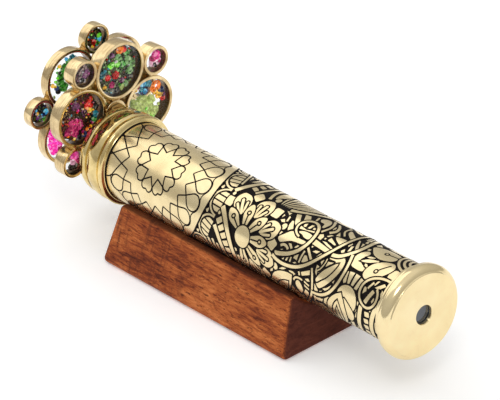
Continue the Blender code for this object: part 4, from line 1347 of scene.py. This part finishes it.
# Colours of the pieces scattered in every cell
CELL_COLOURS = {
    "front_cell_1": "leaf_green green olive red teal pearl smoke green",
    "front_cell_2": "olive sky navy orange amber",
    "front_cell_3": "red amber sky green violet",
    "front_cell_4": "raspberry red amber teal smoke orange pearl violet",
    "front_small_cell_1": "pearl pink pearl",
    "front_small_cell_2": "sky navy green",
    "front_small_cell_3": "pink red smoke",
    "front_small_cell_4": "violet smoke pearl",
    "back_cell_1": "teal sky violet clear",
    "back_cell_2": "sky navy clear teal",
    "back_cell_3": "magenta raspberry olive",
    "back_cell_4": "green clear olive amber lime",
    "back_small_cell_1": "amber red orange",
    "back_small_cell_2": "teal sky clear",
    "back_small_cell_3": "navy pearl green sky",
    "back_small_cell_4": "lime sky red amber",
}


SHOWN_DEPTH = 0.1                    # depth share of the pieces that show
CELL_MARGIN = 0.15                   # kept free inside a cell's rim, mm
# How scattered pieces fill large and small cells: (count, size, depth share)
OVER_BED = ((60, 0.45, 0.2), (12, 0.45, 0.2))
BEHIND_SHOWN = ((18, 0.6, 0.9), (6, 0.6, 0.9))
ON_THEIR_OWN = ((26, 2.0, 0.5), (9, 1.35, 0.5))


def make_wheel(wheel):
    """Ring frame of one wheel, and the gems in its cells."""
    make_wheel_frame(wheel)
    for cell, _, radius, _ in cell_places(wheel):
        reach = radius / MM - CELL_MARGIN
        rng = random.Random(cell + " turns")
        shown = [(shape, colour, y, z, size, GEM_LENGTH.get(shape, 1.0), rng.uniform(0, 180),
                  SHOWN_DEPTH)
                 for shape, colour, *places in CELL_PIECES.get(cell, ())
                 for y, z, size in places]
        if cell in CELL_BEDS:
            shown += bed(reach, *CELL_BEDS[cell])
            filling = OVER_BED
        else:
            filling = BEHIND_SHOWN if shown else ON_THEIR_OWN
        colours = CELL_COLOURS[cell].split()
        crumbs = scattered(cell, reach, colours, *filling["small" in cell])
        make_gems(wheel, cell, shown + crumbs)


# ---------------------------------------------------------------- stand

STAND_TOP = 16.1 * MM                # half width at the top, before rounding
STAND_LEAN = 3.5 * MM                # how far each end leans in at the top
STAND_EDGE = 2.2 * MM                # rounding of every outer edge
STAND_MARGIN = 0.3 * MM              # added to each end before rounding draws it in
END_INSET = 0.97                     # share of the rounding by which an end face is drawn in


def stand_section(high, inset):
    """(y, z) outline of the block drawn in by inset all round; the groove grows with it."""
    slope = math.atan2(high.y - STAND_TOP, high.z)
    lean = math.degrees(slope)
    foot = high.y - STAND_EDGE * (1 + math.sin(slope)) / math.cos(slope)
    shoulder = STAND_TOP - STAND_EDGE * (1 - math.sin(slope)) / math.cos(slope)
    side = arc((foot, STAND_EDGE), STAND_EDGE - inset, -90, lean, 6)
    side += arc((shoulder, high.z - STAND_EDGE), STAND_EDGE - inset, lean, 90, 6)
    groove = TUBE_R + FIT + inset
    dip = math.degrees(math.asin((AXIS_Z - high.z + inset) / groove))
    bowl = arc((0.0, AXIS_Z), groove, -dip, dip - 180, 36)
    return side + bowl + [(-y, z) for y, z in side[::-1]]


def make_stand():
    """Wooden block with every edge rounded over and a groove for the tube."""
    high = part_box("stand")[1]
    turns = [15 * k for k in range(7)]
    rings = []
    for side, order in ((-1, turns), (1, turns[::-1])):
        for turn in order:
            inset = END_INSET * STAND_EDGE * (1 - math.sin(math.radians(turn)))
            back = STAND_EDGE * (1 - math.cos(math.radians(turn)))
            rings.append([(side * (high.x + STAND_MARGIN - STAND_LEAN * z / high.z - back), y, z)
                          for y, z in stand_section(high, inset)])
    solid = Solid()
    solid.cover(rings)
    solid.build("stand_block", [WOOD], "stand", "stand", "rosewood", 30.0)


# ---------------------------------------------------------------- carried-over pieces


def finish_cad_pieces():
    """Gives every CAD piece its own finish; those that are replaced don't show it."""
    finishes = (("eye_lens", LENS), ("mirror_packing", FOAM), ("mirror", MIRROR),
                ("_glass", GLASS), ("stand", WOOD))
    for name, item in frame["nodes"].items():
        item.data.materials.clear()
        item.data.materials.append(next((look for part, look in finishes if part in name), SATIN))


# ---------------------------------------------------------------- floor, light and camera

FLOOR = 2.0                          # half its side


def make_floor():
    mesh = bpy.data.meshes.new("floor")
    mesh.from_pydata([(-FLOOR, -FLOOR, 0), (FLOOR, -FLOOR, 0), (FLOOR, FLOOR, 0),
                      (-FLOOR, FLOOR, 0)], [], [(0, 1, 2, 3)])
    mesh.materials.append(floor_material())
    new_object("floor", mesh)


def make_light(name, direction, distance, width, height, power, colour=(1.0, 1.0, 1.0)):
    """Rectangular soft light that shines at the object from one direction."""
    data = bpy.data.lights.new(name, "AREA")
    data.shape = "RECTANGLE"
    data.size, data.size_y = width, height
    data.energy = power
    data.color = colour
    item = new_object(name, data)
    direction = Vector(direction).normalized()
    item.location = Vector((0.0, 0.0, AXIS_Z)) + direction * distance
    item.rotation_mode = "QUATERNION"
    item.rotation_quaternion = direction.to_track_quat("Z", "Y")


def make_world():
    """Soft surroundings that are bright overhead and dim near the horizon."""
    world = bpy.data.worlds.new("studio")
    bpy.context.scene.world = world
    world.use_nodes = True
    tree = world.node_tree
    where = add_node(tree, "ShaderNodeTexCoord").outputs["Generated"]
    tone = ramp(tree, axes(tree, where)["Z"], [
        (0.05, (0.50, 0.49, 0.48)), (0.30, (0.56, 0.555, 0.55)),
        (0.60, (0.64, 0.64, 0.64)), (0.90, (0.85, 0.85, 0.86))])
    wire(tree, tree.nodes["Background"], Color=tone, Strength=1.0)


def make_camera():
    """Long lens that looks down on the eyepiece end from the -Y side."""
    data = bpy.data.cameras.new("camera")
    data.lens, data.sensor_width = 432.9, 36.0
    data.clip_end = 20.0
    camera = new_object("camera", data)
    # Place and axes from the camera fit to the photograph
    place = (1.5314, -1.2570, 1.2115)
    right = Vector((0.66087, 0.74851, -0.05541))
    up = Vector((-0.35088, 0.37337, 0.85882))
    turn = Matrix((right, up, right.cross(up))).transposed()
    camera.matrix_world = Matrix.Translation(place) @ turn.to_4x4()
    bpy.context.scene.camera = camera


def make_studio():
    scene = bpy.context.scene
    scene.view_settings.view_transform = "Standard"
    scene.cycles.transparent_max_bounces = 32
    make_floor()
    make_world()
    make_light("softbox", (-0.66, -0.10, 0.75), 1.2, 1.18, 1.3, 3.5, (1.0, 0.985, 0.96))
    make_light("front_lamp", (0.55, -0.42, 0.80), 1.1, 0.3, 0.3, 1.6)
    make_camera()


finish_cad_pieces()
make_tube()
make_etching()
make_cap()
make_collar()
make_wheel("front")
make_wheel("back")
make_stand()
make_studio()
